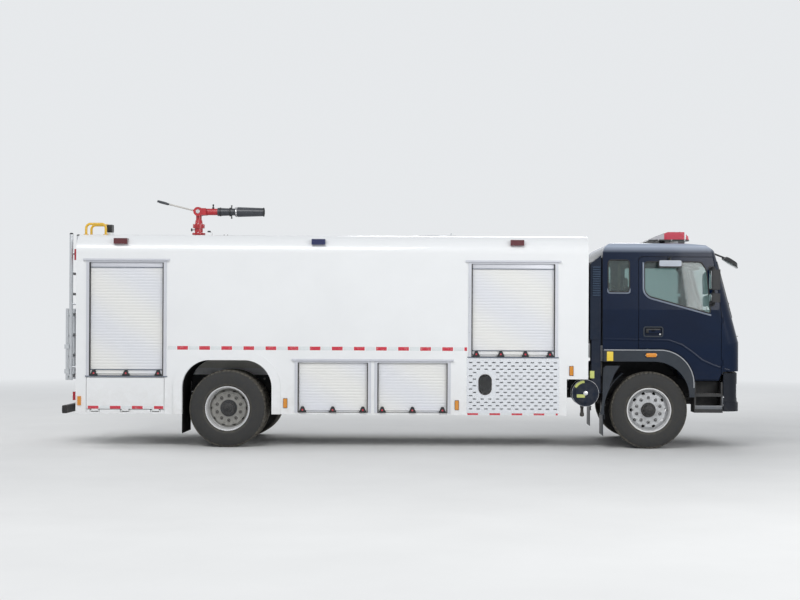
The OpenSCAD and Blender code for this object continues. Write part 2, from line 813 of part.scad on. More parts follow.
module rear_bumper() {
  color("dimgray") union() {
    plate_y(-bumper_r_half, bumper_r_half)
      round_rect([rear_x, bumper_r_z0], [rear_x + bumper_r_t, bumper_r_z0 + bumper_r_h], 12);
    both_sides() {
      box([rear_x + bumper_r_t - 1, spring_y - arm_w / 2, bumper_r_z0 + 10],
          [frame_rear_x + 180, spring_y + arm_w / 2, bumper_r_z0 + 90]);
      box([frame_rear_x + 60, spring_y - arm_w / 2, bumper_r_z0 + 20],
          [frame_rear_x + 180, spring_y + arm_w / 2, frame_bottom]);
    }
    difference() {
      union() {
        box([frame_rear_x + 140, -spring_y, tow_jaw_z - 60], [frame_rear_x + 170, spring_y, tow_jaw_z + 60]);
        for (z = [tow_jaw_z - 55, tow_jaw_z + 25])
          box([frame_rear_x - 40, -60, z], [frame_rear_x + 141, 60, z + 30]);
      }
      translate([frame_rear_x, 0, tow_jaw_z - 100]) cylinder(d = tow_pin_d, h = 200, $fn = 64);
    }
  }
}

// Tail lamps below the rear wall, and the markers above
tail_w = 330;
tail_h = 116;
tail_z = 628;
rear_lamp_h = 150;
module tail_lamps() {
  color("darkred") both_sides() {
    box([body_rear_x - 68, 800, tail_z], [body_rear_x, 800 + tail_w, tail_z + tail_h]);
    box([body_rear_x - 44, 1090, 2540], [body_rear_x, 1170, 2540 + rear_lamp_h]);
  }
}

// Ladder on the right of the rear wall: two rails, rungs, stand-offs and the stowed lower section
ladder_y = -880;
ladder_z0 = 900;
ladder_z1 = body_top + 4;
ladder_x = body_rear_x - ladder_off;
rung_d = 30;
lower_off = 52;
lower_z1 = 1880;

lower_rail_d = 40;
LADDER_GUIDE_Z = [ladder_z0 + 90, ladder_z0 + 430];
module ladder() {
  n = floor((ladder_z1 - ladder_z0 - 120) / rung_pitch);
  color("silver") translate([0, ladder_y, 0]) union() {
    both_sides() {
      translate([ladder_x, ladder_w / 2, ladder_z0])
        cylinder(d = ladder_rail_d, h = ladder_z1 - ladder_z0, $fn = 64);
      for (z = [ladder_z0 + 180, (ladder_z0 + ladder_z1) / 2 + 40, ladder_z1 - 260])
        translate([0, ladder_w / 2, z]) rod_x(28, ladder_x, body_rear_x);
      for (z = LADDER_GUIDE_Z) ladder_guide(z);
    }
    for (k = [0:n]) translate([ladder_x, 0, ladder_z0 + 60 + k * rung_pitch])
      rod_y(rung_d, -ladder_w / 2, ladder_w / 2);
  }
}

// Guide on a rail, open towards the rungs, that the lower section slides through
module ladder_guide(z) {
  difference() {
    box([ladder_x - lower_off - 30, ladder_w / 2, z], [ladder_x - 18, ladder_w / 2 + 32, z + 60]);
    translate([ladder_x - lower_off, ladder_w / 2, z - 1])
      cylinder(d = lower_rail_d + 2 * hub_clear, h = 62, $fn = 64);
  }
}

module ladder_lower() {
  color("silver") translate([ladder_x - lower_off, ladder_y, 0]) union() {
    both_sides() translate([0, ladder_w / 2, ladder_z0])
      cylinder(d = lower_rail_d, h = lower_z1 - ladder_z0, $fn = 64);
    for (k = [0:3]) translate([0, 0, ladder_z0 + 40 + k * rung_pitch])
      rod_y(rung_d - 4, -ladder_w / 2, ladder_w / 2);
  }
}

// Grab rails on the roof above the ladder: round tube bent over at the top
grab_d = 34;
grab_h = 150;
grab_l = 270;
grab_r = 60;
GRAB_Y = [ladder_y - 80, ladder_y + 215];

module tube_arc(r, d) {
  rotate_extrude(angle = 90, $fn = 96) translate([r, 0]) circle(d = d, $fn = 48);
}

module grab_loop() {
  union() {
    for (e = [0, 1]) {
      x = e * grab_l;
      translate([x, 0, 0]) cylinder(d = grab_d, h = grab_h - grab_r, $fn = 48);
      translate([x, 0, 0]) cylinder(d = 70, h = 8, $fn = 48);
    }
    translate([grab_r, 0, grab_h - grab_r]) rotate([90, 0, 0]) rotate([0, 0, 90]) tube_arc(grab_r, grab_d);
    translate([grab_l - grab_r, 0, grab_h - grab_r]) rotate([90, 0, 0]) tube_arc(grab_r, grab_d);
    translate([0, 0, grab_h]) rod_x(grab_d, grab_r, grab_l - grab_r);
  }
}

module grab_rails() {
  color("gold") for (y = GRAB_Y) translate([body_rear_x + 64, y, body_top]) grab_loop();
}

// Beacons on the roof edges and markers on the sides
// Beacons by their distance from the rear wall
BEACON_X = [604, 3289, 5989];
// Side markers. Columns: distance from the rear wall, height of the middle
MARKER_X = [[52, 628], [2848, 607], [5178, 590], [6731, 1063]];
beacon_l = 185;
beacon_h = 76;
beacon_z = body_top - 98;
beacon_out = 48;

module body_lamps() {
  beacon_y = body_side_y - roof_r + sqrt(roof_r * roof_r - pow(beacon_z - eave_z - beacon_h / 2, 2));
  color("firebrick") both_sides() {
    for (x = BEACON_X) difference() {
      box([body_rear_x + x - beacon_l / 2, beacon_y - 90, beacon_z - beacon_h / 2],
          [body_rear_x + x + beacon_l / 2, beacon_y + beacon_out, beacon_z + beacon_h / 2]);
      plate_x(body_rear_x, body_front_x) roof_outline(body_side_y, body_top, roof_r, 0);
    }
    for (m = MARKER_X) box([body_rear_x + m[0] - 24, body_side_y, m[1] - 61],
                           [body_rear_x + m[0] + 24, body_side_y + 16, m[1] + 61]);
  }
}

// Manhole in the roof, over the tank
manhole_x = 4900;
manhole_d = 520;
manhole_neck_t = 8;
lid_over = 24;
lid_t = 14;
lid_hinge_x = manhole_x - manhole_d / 2 - 70;
lid_hinge_z = body_top + 52;

module manhole_rim() {
  union() {
    translate([body_rear_x + manhole_x, 0, tank_top]) difference() {
      cylinder(d = manhole_d, h = body_top + 34 - tank_top, $fn = 96);
      translate([0, 0, -1]) cylinder(d = manhole_d - 2 * manhole_neck_t, h = body_top, $fn = 96);
    }
    translate([body_rear_x + manhole_x, 0, body_top]) difference() {
      cylinder(d = manhole_d + 50, h = 10, $fn = 96);
      translate([0, 0, -1]) cylinder(d = manhole_d - 4, h = 20, $fn = 96);
    }
    for (y = [-92, 78]) box([body_rear_x + lid_hinge_x - 16, y, body_top],
                            [body_rear_x + lid_hinge_x + 16, y + 14, lid_hinge_z + 14]);
    translate([body_rear_x + lid_hinge_x, 0, lid_hinge_z]) rod_y(12, -92, 92);
  }
}

module manhole_lid() {
  color("dimgray") difference() {
    union() {
      translate([body_rear_x + manhole_x, 0, body_top + 40])
        cylinder(d = manhole_d + 2 * lid_over, h = lid_t, $fn = 96);
      translate([body_rear_x + lid_hinge_x, 0, lid_hinge_z]) rod_y(26, -70, 70);
      box([body_rear_x + lid_hinge_x, -70, body_top + 42],
          [body_rear_x + manhole_x - manhole_d / 2 + 20, 70, body_top + 40 + lid_t]);
      translate([body_rear_x + manhole_x + 190, 0, body_top + 40 + lid_t - 1]) grab_small();
    }
    translate([body_rear_x + lid_hinge_x, 0, lid_hinge_z]) rod_y(14, -72, 72);
  }
}

module grab_small() {
  difference() {
    translate([-9, -80, 0]) cube([18, 160, 44]);
    translate([-10, -62, -1]) cube([20, 124, 27]);
  }
}

// Roof monitor: fixed riser, swivelling elbow, tilting barrel with its tiller
mon_x = body_rear_x + monitor_x;
elbow_z = body_top + monitor_h;
flange_d = 190;
riser_top = body_top + 180;
swivel_gap = 4;
elbow_d = 150;
trunnion_y = 92;
trunnion_d = 60;

module monitor_riser() {
  color("firebrick") translate([mon_x, 0, 0]) difference() {
    union() {
      translate([0, 0, body_top]) cylinder(d = 300, h = 26, $fn = 96);
      translate([0, 0, body_top]) cylinder(d = pipe_d + 20, h = riser_top - body_top, $fn = 96);
      translate([0, 0, body_top + 60]) cylinder(d = flange_d, h = 24, $fn = 96);
      translate([0, 0, riser_top - 24]) cylinder(d = flange_d - 20, h = 24, $fn = 96);
    }
    translate([0, 0, body_top + 40]) cylinder(d = pipe_d - 12, h = monitor_h, $fn = 96);
  }
}

module monitor_swivel() {
  color("firebrick") translate([mon_x, 0, 0]) union() {
    translate([0, 0, riser_top + swivel_gap]) cylinder(d = flange_d - 20, h = 26, $fn = 96);
    difference() {
      translate([0, 0, riser_top - 60]) cylinder(d = pipe_d - 14, h = elbow_z - riser_top + 60, $fn = 96);
      translate([0, 0, riser_top - 61]) cylinder(d = pipe_d - 30, h = elbow_z - riser_top, $fn = 96);
    }
    translate([0, 0, riser_top + 20]) cylinder(d1 = pipe_d + 24, d2 = pipe_d, h = 70, $fn = 96);
    translate([0, 0, elbow_z]) sphere(d = elbow_d - 14, $fn = 96);
    translate([0, 0, elbow_z]) rod_y(trunnion_d, -trunnion_y, trunnion_y);
  }
}

tiller_l = 540;
grip_l = 130;
module monitor_barrel() {
  color("firebrick") translate([mon_x, 0, elbow_z]) difference() {
    union() {
      for (y = [-trunnion_y, trunnion_y - 22]) {
        rod_y(elbow_d - 20, y, y + 22);
        plate_y(y, y + 22) polygon([[0, 48], [elbow_d / 2 + 40, 48], [elbow_d / 2 + 40, -48], [0, -48]]);
      }
      box([elbow_d / 2 + 14, -trunnion_y, -48], [elbow_d / 2 + 40, trunnion_y, 48]);
      rod_x(pipe_d, elbow_d / 2 + 14, elbow_d / 2 + 200);
      translate([elbow_d / 2 + 199, 0, 0]) rotate([0, 90, 0])
        cylinder(d1 = pipe_d + 24, d2 = pipe_d + 4, h = 250, $fn = 96);
      translate([elbow_d / 2 + 448, 0, 0]) rotate([0, 90, 0]) cylinder(d = pipe_d + 30, h = 40, $fn = 96);
      translate([elbow_d / 2 + 487, 0, 0]) rotate([0, 90, 0])
        cylinder(d1 = 144, d2 = 118, h = barrel_l - 487, $fn = 96);
      translate([elbow_d / 2 + barrel_l - 10, 0, 0]) rotate([0, 90, 0]) cylinder(d = 128, h = 10, $fn = 96);
      for (y = [-trunnion_y + 11, trunnion_y - 11]) tiller_arm(y);
    }
    translate([elbow_d / 2 + 520, 0, 0]) rotate([0, 90, 0]) cylinder(d = 84, h = barrel_l, $fn = 96);
    rod_y(trunnion_d + 2 * hub_clear, -trunnion_y - 1, trunnion_y + 1);
  }
}

module tiller_arm(y) {
  tilt = 14;
  translate([0, y, 0]) rotate([0, tilt, 0]) translate([-elbow_d / 2 + 16, 0, 0]) {
    rod_x(20, -tiller_l + 20, 0);
    rod_x(34, -tiller_l, -tiller_l + grip_l);
  }
}

// Air cleaner behind the cab: intake column, elbow and a drum across the truck
drum_c = [body_front_x - 33, 760];
drum_r = 180;
drum_y0 = 820;
drum_y1 = 1205;
snorkel_x0 = body_front_x + 50;
snorkel_x1 = cab_rear_x - 24;
snorkel_y0 = 960;
snorkel_y1 = 1180;

module air_cleaner() {
  color([0.08, 0.08, 0.1]) mirror([0, 1, 0]) union() {
    translate([drum_c[0], 0, drum_c[1]]) rod_y(2 * drum_r, drum_y0, drum_y1);
    translate([drum_c[0], 0, drum_c[1]]) rod_y(2 * drum_r - 90, drum_y1 - 1, drum_y1 + 22);
    box([snorkel_x0, snorkel_y0, drum_c[1]], [snorkel_x1, snorkel_y1, 1500]);
    plate_y(snorkel_y0 - 30, snorkel_y1 + 14)
      polygon([[snorkel_x0 - 20, 1490], [snorkel_x1, 1490], [snorkel_x1, 2640], [snorkel_x0 - 20, 2520]]);
    box([drum_c[0] - 40, frame_y, frame_bottom + 40], [drum_c[0] + 40, drum_y0 + 1, frame_bottom + 140]);
  }
}

// Mudguards behind the front wheels
guard_t = 6;
guard_r = tyre_r + 100;
// Outline of the panel on its outer side, from the wheel's middle
GUARD_PANEL = [[-678, -57], [-560, -57], [-560, 260], [-539, 353], [-479, 503], [-409, 608],
               [-600, 608], [-630, 575], [-637, 500], [-645, 73]];
module front_mudguards() {
  color([0.2, 0.22, 0.24]) both_sides() union() {
    translate([axle_f_x, 0, tyre_r]) plate_y(730, cab_side_y - 6) intersection() {
      difference() {
        circle(guard_r, $fn = 180);
        circle(guard_r - guard_t, $fn = 180);
      }
      translate([-guard_r - 1, -120]) square([guard_r - 360, guard_r]);
    }
    translate([axle_f_x, 0, tyre_r]) plate_y(cab_side_y - 20, cab_side_y - 6) difference() {
      polygon(GUARD_PANEL);
      circle(guard_r - guard_t, $fn = 180);
    }
    box([axle_f_x - guard_r + 3, frame_y, tyre_r + 205], [axle_f_x - guard_r + 43, 731, tyre_r + 245]);
    box([axle_f_x - guard_r - 10, 720, 180], [axle_f_x - guard_r - 2, cab_side_y - 40, tyre_r - 60]);
    box([axle_f_x - guard_r - 10, 720, tyre_r - 70], [axle_f_x - guard_r + 20, cab_side_y - 40, tyre_r - 60]);
  }
}

// Cab mounts: brackets with the tilt pivots at the front, and rests at the rear
pivot_x = front_x - 160;
pivot_z = 900;
pivot_y = 330;
pivot_d = 44;
ear_t = 26;
arm_half = 24;
rest_y = 530;
rest_l = 80;
module cab_mounts() {
  color("dimgray") union() {
    both_sides() {
      for (y = [pivot_y - arm_half - 6 - ear_t, pivot_y + arm_half + 6])
        box([frame_front_x + 12, y, frame_bottom + 20], [pivot_x + 40, y + ear_t, pivot_z + 40]);
      translate([pivot_x, 0, pivot_z]) rod_y(pivot_d, pivot_y - arm_half - 10, pivot_y + arm_half + 10);
    }
    both_sides() translate([cab_rear_x + 60, 0, frame_top]) {
      box([0, frame_y - rail_flange, 0], [rest_l, rest_y + rest_l / 2, 60]);
      box([0, rest_y - rest_l / 2, 0], [rest_l, rest_y + rest_l / 2, well_top - frame_top]);
    }
  }
}

// Cab outlines. g is an inset: 0 for the outside, the wall's thickness for the inside.
cab_z0 = 940;
nose_x = front_x - 331;
nose_z = 1140;
apron_z = 1063;
sweep_r = 228;
apron_t = 12;
well_x = axle_f_x + 61;
well_top = 1194;
well_r = 474;
tunnel_y = 475;
tunnel_z = 1345;
screen_top_x = front_x - 310;
screen_top_z = 2620;
rake = 15.1;
brow_x = front_x - 860;
brow_mid_x = front_x - 560;
brow_mid_z = cab_top - 30;
cab_rear_r = 150;
cab_roof_r = 170;
belt_z = 1900;
lean = 62;
bow_half = cab_side_y - cab_corner_r - 6;
bow_r = (bow_half * bow_half + front_bow * front_bow) / (2 * front_bow);

// Opening above and ahead of the front wheel
module wheel_well_2d(g) {
  translate([cab_rear_x - 500, 0]) square([well_x - cab_rear_x + 500, well_top + g]);
  translate([well_x, well_top - well_r]) circle(well_r + g, $fn = 180);
  translate([well_x - 10, 0]) square([well_r + g + 10, well_top - well_r]);
}

module cab_side_2d(g) {
  difference() {
    translate([cab_rear_x + g, cab_z0 + g])
      square([front_x - cab_rear_x - 2 * g, cab_top - cab_z0 - 2 * g]);
    translate([cab_rear_x + g, cab_top - g]) rotate(-90) corner_cut(cab_rear_r);
    wheel_well_2d(g);
    translate([nose_x - g, 0]) square([1000, nose_z + g]);
    polygon([[brow_x, cab_top - g], [brow_mid_x, brow_mid_z - g], [screen_top_x - g, screen_top_z - g],
             [front_x + 100, screen_top_z - g - 100], [front_x + 100, cab_top + 100], [brow_x, cab_top + 100]]);
  }
}

// Seen from above, with the middle of the front at xf
module cab_plan_2d(g, xf) {
  intersection() {
    translate([xf - g - bow_r, 0]) circle(bow_r, $fn = 720);
    translate([xf - 2400, -bow_half]) square([2500, 2 * bow_half]);
  }
  round_rect([xf - 3200, -cab_side_y + g], [xf - front_bow - g, cab_side_y - g], cab_corner_r - g);
}

module cab_front_2d(g) {
  intersection() {
    roof_outline(cab_side_y - g, cab_top - g, cab_roof_r, 0);
    polygon([[-cab_side_y + g, 0], [cab_side_y - g, 0], [cab_side_y - g, belt_z],
             [cab_side_y - lean - g, cab_top], [-cab_side_y + lean + g, cab_top], [-cab_side_y + g, belt_z]]);
  }
}

module cab_solid(g) {
  difference() {
    intersection() {
      plate_y(-cab_side_y - 1, cab_side_y + 1) cab_side_2d(g);
      plate_z(600, 3000) cab_plan_2d(g, front_x);
      translate([screen_top_x, 0, screen_top_z]) rotate([0, -rake, 0]) plate_z(-2000, 600) cab_plan_2d(g, 0);
      plate_x(cab_rear_x, front_x) cab_front_2d(g);
    }
    box([cab_rear_x - 1, -tunnel_y - g, 0], [front_x - 90 - g, tunnel_y + g, tunnel_z + g]);
    translate([pivot_x, 0, pivot_z]) rod_y(2 * (sweep_r + g), -cab_w, cab_w);
  }
}

// Arms from the cab's floor down to the tilt pivots
module tilt_arms() {
  both_sides() translate([pivot_x, 0, pivot_z]) difference() {
    union() {
      rod_y(pivot_d + 44, pivot_y - arm_half, pivot_y + arm_half);
      plate_y(pivot_y - arm_half, pivot_y + arm_half)
        polygon([[-10, 40], [-205, 190], [-260, tunnel_z - pivot_z + 10], [-180, tunnel_z - pivot_z + 10],
                 [-130, 215], [30, 34], [10, -40], [-30, -34]]);
    }
    rod_y(pivot_d + 2 * hub_clear, pivot_y - arm_half - 1, pivot_y + arm_half + 1);
  }
}

// The cab's wall between two insets
module cab_skin(g0, g1) {
  difference() {
    cab_solid(g0);
    cab_solid(g1);
  }
}

// Door outline in side view, shrunk by g
door_x0 = axle_f_x - 160;
door_x1 = front_x - 349;
door_z0 = cab_z0 + 6;
door_z1 = 2625;
// Where the front edge starts to lean back, and how far forward it ends at the top
slant_z = 1850;
door_top_x = door_x1 - 111;
flare_top = 1362;
flare_x = axle_f_x + 136;
flare_r = 472;
module flare_outer_2d(g) {
  translate([cab_rear_x - 500, 0]) square([flare_x - cab_rear_x + 500, flare_top + g]);
  translate([flare_x, flare_top - flare_r]) circle(flare_r + g, $fn = 180);
  translate([flare_x - 10, 0]) square([flare_r + g + 10, flare_top - flare_r]);
}

module door_2d(g) {
  difference() {
    round_rect([door_x0 + g, door_z0 - 200], [door_x1 - g, door_z1 - g], 60);
    polygon([[door_x1 - g, slant_z], [door_top_x - g, door_z1], [door_x1 + 100, door_z1 + 100],
             [door_x1 + 100, slant_z]]);
    translate([door_x0 - 10, 0]) square([door_x1 - door_x0 + 20, door_z0 + g]);
    flare_outer_2d(g);
  }
}

// How far in a door's leaning upper part can be, and the gap between a door and its sill
door_reach = 200;
sill_gap = 8;
module door_opening() {
  plate_y(cab_side_y - cab_t - sill_gap, cab_side_y + 10) door_2d(0);
  intersection() {
    plate_y(cab_side_y - door_reach, cab_side_y + 10) door_2d(0);
    box([cab_rear_x, 0, flare_top + 60], [front_x, cab_side_y + 10, cab_top]);
  }
}

// Window openings in side view. The door's drops towards the front.
module door_window_2d(g) {
  polygon([[door_x0 + 86 + g, 2552 - g], [door_x0 + 86 + g, 2152 + g], [door_x0 + 150 + g, 2082 + g],
           [door_x0 + 980 - g, 1852 + g], [door_x0 + 930 - g, 2430 - g], [door_x0 + 860 - g, 2552 - g]]);
}
module rear_window_2d(g) {
  round_rect([cab_rear_x + 74 + g, 2142 + g], [cab_rear_x + 362 - g, 2572 - g], 50);
}
screen_z0 = 1800;
screen_z1 = 2560;
screen_y = 1050;
module screen_2d(g) {
  round_rect([-screen_y + g, screen_z0 + g], [screen_y - g, screen_z1 - g], 90);
}

module cab_shell() {
  color([0.05, 0.07, 0.13]) union() {
    difference() {
      cab_skin(0, cab_t);
      plate_y(-cab_w, cab_w) rear_window_2d(0);
      both_sides() door_opening();
      plate_x(front_x - 700, front_x + 10) screen_2d(0);
      intersection() {
        front_band(grille_t, grille_z0, grille_z1);
        box([front_x - 400, -grille_y, grille_z0 - 1], [front_x + 1, grille_y, grille_z1 + 1]);
      }
      both_sides() for (z = HINGE_Z)
        box([door_x1 - 1, hinge_y - hinge_pocket, z - hinge_h / 2 - 6],
            [hinge_x + hinge_pocket, cab_side_y + 1, z + hinge_h / 2 + 6]);
    }
    both_sides() for (z = HINGE_Z) translate([hinge_x, hinge_y, z - hinge_h / 2 - 16])
      cylinder(d = hinge_pin_d, h = hinge_h + 32, $fn = 48);
    tilt_arms();
    intersection() {
      front_band(apron_t, apron_z, nose_z + 1);
      box([nose_x, -cab_w, 0], [front_x + 1, cab_w, 2 * nose_z]);
    }
  }
}

// Door hinges: pins in pockets of the front pillars
HINGE_Z = [1180, 1760];
hinge_h = 70;
hinge_pocket = 17;
hinge_barrel_d = 22;

glass_set = 10;
module cab_glass() {
  color([0.2, 0.3, 0.3]) {
    both_sides() intersection() {
      cab_skin(glass_set, glass_set + glass_t);
      plate_y(cab_side_y - 250, cab_side_y + 10) rear_window_2d(skin_gap);
    }
    intersection() {
      cab_skin(glass_set, glass_set + glass_t);
      plate_x(front_x - 650, front_x) screen_2d(skin_gap);
    }
  }
}

// The room inside a door's skin
module door_core() {
  intersection() {
    plate_z(600, cab_top) cab_plan_2d(cab_t, front_x);
    plate_x(cab_rear_x, front_x) cab_front_2d(cab_t);
  }
}

hinge_x = door_x1 + 7;
hinge_y = cab_side_y - 8;
module door(side) {
  color([0.05, 0.07, 0.13]) on_side(side) union() {
    difference() {
      intersection() {
        cab_solid(0);
        plate_y(cab_side_y - door_reach, cab_side_y + 10) door_2d(door_gap);
      }
      door_core();
      plate_y(cab_side_y - 300, cab_side_y + 10) door_window_2d(0);
      box([door_x0 + 75, cab_side_y - 26, 1536], [door_x0 + 330, cab_side_y + 1, 1664]);
    }
    box([door_x0 + 140, cab_side_y - 27, 1580], [door_x0 + 300, cab_side_y - 4, 1622]);
    for (z = HINGE_Z) difference() {
      union() {
        translate([hinge_x, hinge_y, z - hinge_h / 2]) cylinder(d = hinge_barrel_d, h = hinge_h, $fn = 64);
        box([door_x1 - door_gap - 4, hinge_y - 8, z - hinge_h / 2], [hinge_x, hinge_y + 4, z + hinge_h / 2]);
      }
      translate([hinge_x, hinge_y, z - hinge_h]) cylinder(d = hinge_pin_d + 2 * hub_clear, h = 2 * hinge_h, $fn = 64);
    }
  }
}

module door_glass(side) {
  color([0.2, 0.3, 0.3]) on_side(side) intersection() {
    cab_skin(glass_set, glass_set + glass_t);
    plate_y(cab_side_y - 250, cab_side_y + 10) door_window_2d(skin_gap);
  }
}

// Wheel arch trim on the cab's sides
flare_proud = 18;
flare_z0 = 712;
module cab_flares() {
  color([0.2, 0.22, 0.24]) both_sides() plate_y(cab_side_y, cab_side_y + flare_proud) difference() {
    intersection() {
      flare_outer_2d(0);
      translate([cab_rear_x + 10, flare_z0]) square([1600, 1000]);
    }
    wheel_well_2d(0);
  }
}

// Slats in a shallow recess of the front panel
grille_z0 = 1190;
grille_z1 = 1460;
grille_y = 820;
grille_n = 5;
grille_t = 14;
module front_band(t, z0, z1) {
  plate_z(z0, z1) difference() {
    cab_plan_2d(0, front_x);
    cab_plan_2d(t, front_x);
  }
}

module grille_panel() {
  pitch = (grille_z1 - grille_z0) / grille_n;
  color([0.1, 0.1, 0.12]) intersection() {
    front_band(grille_t, grille_z0, grille_z1);
    for (k = [0:grille_n - 1])
      box([front_x - 400, -grille_y, grille_z0 + k * pitch],
          [front_x + 1, grille_y, grille_z0 + (k + 0.62) * pitch]);
  }
}

// Bumper with the headlamps let into its corners, and a tow eye pocket
bump_z0 = 520;
bump_z1 = apron_z - 23;
bump_t = 60;
bump_inset = 18;
lamp_z0 = 700;
lamp_h = 190;
lamp_l = 420;
bump_lip_z = 640;
module bumper_solid(g) {
  intersection() {
    union() {
      plate_z(bump_z0, bump_z1) cab_plan_2d(bump_inset + g, front_x);
      plate_z(bump_z0, bump_lip_z) cab_plan_2d(g, front_x);
    }
    box([nose_x + 12, -cab_w, 0], [front_x, cab_w, bump_z1]);
  }
}

module front_bumper() {
  color([0.06, 0.07, 0.1]) difference() {
    union() {
      difference() {
        bumper_solid(0);
        plate_z(bump_z0 - 1, bump_z1 + 1) cab_plan_2d(bump_inset + bump_t, front_x);
      }
      both_sides() box([frame_front_x + 12, pivot_y - 90, bump_z0 + 60],
                       [front_x - bump_inset - bump_t, pivot_y + 90, frame_bottom + 16]);
    }
    both_sides() lamp_box(0);
  }
}

module lamp_box(g) {
  box([front_x - 420, cab_side_y - lamp_l - 110 + g, lamp_z0 + g],
      [front_x + 10, cab_side_y - 110 - g, lamp_z0 + lamp_h - g]);
}

module headlamps() {
  color("whitesmoke") both_sides() intersection() {
    difference() {
      bumper_solid(6);
      bumper_solid(50);
    }
    lamp_box(0);
  }
}

// Steps below the doors, fixed to the chassis
step_x0 = axle_f_x + 608;
step_x1 = nose_x + 4;
step_y0 = 800;
module cab_steps() {
  color([0.08, 0.08, 0.1]) both_sides() union() {
    for (z = [500, 720]) box([step_x0, step_y0 + 120, z], [step_x1, cab_side_y - 20, z + 36]);
    box([step_x0, cab_side_y - 34, 500], [step_x1, cab_side_y - 20, 590]);
    box([step_x0, step_y0 + 90, 500], [step_x1, step_y0 + 121, cab_z0 - 24]);
    for (x = [step_x0, step_x1 - 24]) box([x, step_y0 + 90, 500], [x + 24, cab_side_y - 30, cab_z0 - 24]);
    box([step_x0 + 100, frame_y, frame_bottom + 40], [step_x0 + 180, step_y0 + 91, frame_bottom + 100]);
  }
}

// Mirrors on the doors' front pillars, a large one above a wide-angle one
mirror_x = axle_f_x + 833;
mirror_y = cab_side_y + 150;
mirror_w = 190;
module mirror_pair(side) {
  color([0.2, 0.2, 0.22]) on_side(side) difference() {
    union() {
      for (z = [2470, 1975]) translate([mirror_x, 0, z]) rod_y(24, cab_side_y - 90, mirror_y);
      translate([mirror_x, mirror_y, 1960]) cylinder(d = 26, h = 525, $fn = 48);
      for (z = [[2170, 2440], [2000, 2120]])
        plate_z(z[0], z[1])
          round_rect([mirror_x - 58, mirror_y - 14], [mirror_x + 60, mirror_y + mirror_w], 20);
      if (side == RIGHT) kerb_mirror();
    }
    cab_solid(0);
  }
}

// Kerb mirror, hung from an arm on the right door's upper frame
kerb_x = door_x0 + 411;
kerb_z = 2520;
kerb_l = 312;
kerb_h = 100;
kerb_y = cab_side_y + 95;
module kerb_mirror() {
  translate([kerb_x, 0, kerb_z + 78]) rod_y(24, cab_side_y - 90, kerb_y);
  translate([kerb_x, kerb_y, kerb_z + 18]) cylinder(d = 30, h = 72, $fn = 48);
  plate_y(kerb_y - 40, kerb_y + 40)
    round_rect([kerb_x - kerb_l / 2, kerb_z - kerb_h / 2], [kerb_x + kerb_l / 2, kerb_z + kerb_h / 2], 24);
}

// Round mirror on an arm ahead of the right corner of the screen
bowl_y = -860;
bowl_z = 2551;
bowl_tilt = 32;
module cab_mirrors() {
  color([0.2, 0.2, 0.22]) difference() {
    union() {
      translate([front_x - 500, bowl_y, 2720]) rotate([0, 111, 0]) cylinder(d = 24, h = 340, $fn = 48);
      translate([front_x - 176, bowl_y, bowl_z]) rotate([0, bowl_tilt, 0])
        cylinder(d1 = 250, d2 = 180, h = 50, $fn = 96);
    }
    cab_solid(0);
  }
}

// Light bar across the roof
bar_x = cab_rear_x + 645;
bar_half_y = 960;
bar_foot = 36;
module light_bar() {
  color("firebrick") union() {
    translate([bar_x, 0, cab_top + bar_foot]) plate_y(-bar_half_y, bar_half_y)
      polygon([[0, 0], [0, 12], [80, 50], [270, 124], [495, 124], [552, 62], [565, 0]]);
    difference() {
      both_sides() box([bar_x + 420, bar_half_y - 50, cab_top - 200],
                       [bar_x + 500, bar_half_y, cab_top + bar_foot + 1]);
      cab_solid(0);
    }
  }
}

// Seats and dashboard
seat_y0 = 530;
module seats() {
  color([0.25, 0.25, 0.28]) both_sides() translate([axle_f_x + 20, 0, 0]) union() {
    box([0, seat_y0, well_top + cab_t], [520, 1050, 1500]);
    box([-60, seat_y0, 1499], [520, 1050, 1620]);
    plate_y(540, 1040) polygon([[-60, 1600], [70, 1600], [-40, 2270], [-150, 2270]]);
  }
}
dash_y = 1130;
module dashboard() {
  color([0.15, 0.15, 0.17]) union() {
    intersection() {
      cab_solid(cab_t);
      box([front_x - 620, -dash_y, 1500], [front_x, dash_y, 1780]);
    }
    translate([front_x - 640, 700, 1760]) rotate([0, -55, 0]) {
      rotate_extrude($fn = 96) translate([210, 0]) circle(d = 32, $fn = 32);
      cylinder(d = 90, h = 40, center = true, $fn = 48);
      for (a = [0, 120, 240]) rotate(a) rotate([0, 90, 0]) cylinder(d = 24, h = 205, $fn = 32);
      translate([0, 0, -260]) cylinder(d = 50, h = 260, $fn = 48);
    }
  }
}

frame_rails();
engine_block();
drive_line();
rear_axle();
front_axle();
leaf_springs();
knuckle(RIGHT);  // knuckle_right
knuckle(LEFT);  // knuckle_left
rim_front(RIGHT);  // rim_front_right
rim_front(LEFT);  // rim_front_left
rim_rear(RIGHT);  // rim_rear_right
rim_rear(LEFT);  // rim_rear_left
tyre_front(RIGHT);  // tyre_front_right
tyre_front(LEFT);  // tyre_front_left
tyres_rear(RIGHT);  // tyres_rear_right
tyres_rear(LEFT);  // tyres_rear_left
body_side(RIGHT);  // body_side_right
body_side(LEFT);  // body_side_left
body_roof();
body_end_walls();
body_floor();
water_tank();
shutter_frames();
shutters();
step_flap(RIGHT);  // step_flap_right
step_flap(LEFT);  // step_flap_left
perforated_panels();
rear_mudguards();
rear_bumper();
tail_lamps();
body_lamps();
ladder();
ladder_lower();
grab_rails();
manhole_lid();
monitor_riser();
monitor_swivel();
monitor_barrel();
air_cleaner();
front_mudguards();
cab_mounts();
front_bumper();
headlamps();
cab_steps();
cab_shell();
cab_flares();
grille_panel();
cab_glass();
door(RIGHT);  // door_right
door(LEFT);  // door_left
door_glass(RIGHT);  // door_glass_right
door_glass(LEFT);  // door_glass_left
mirror_pair(RIGHT);  // mirror_right
mirror_pair(LEFT);  // mirror_left
cab_mirrors();
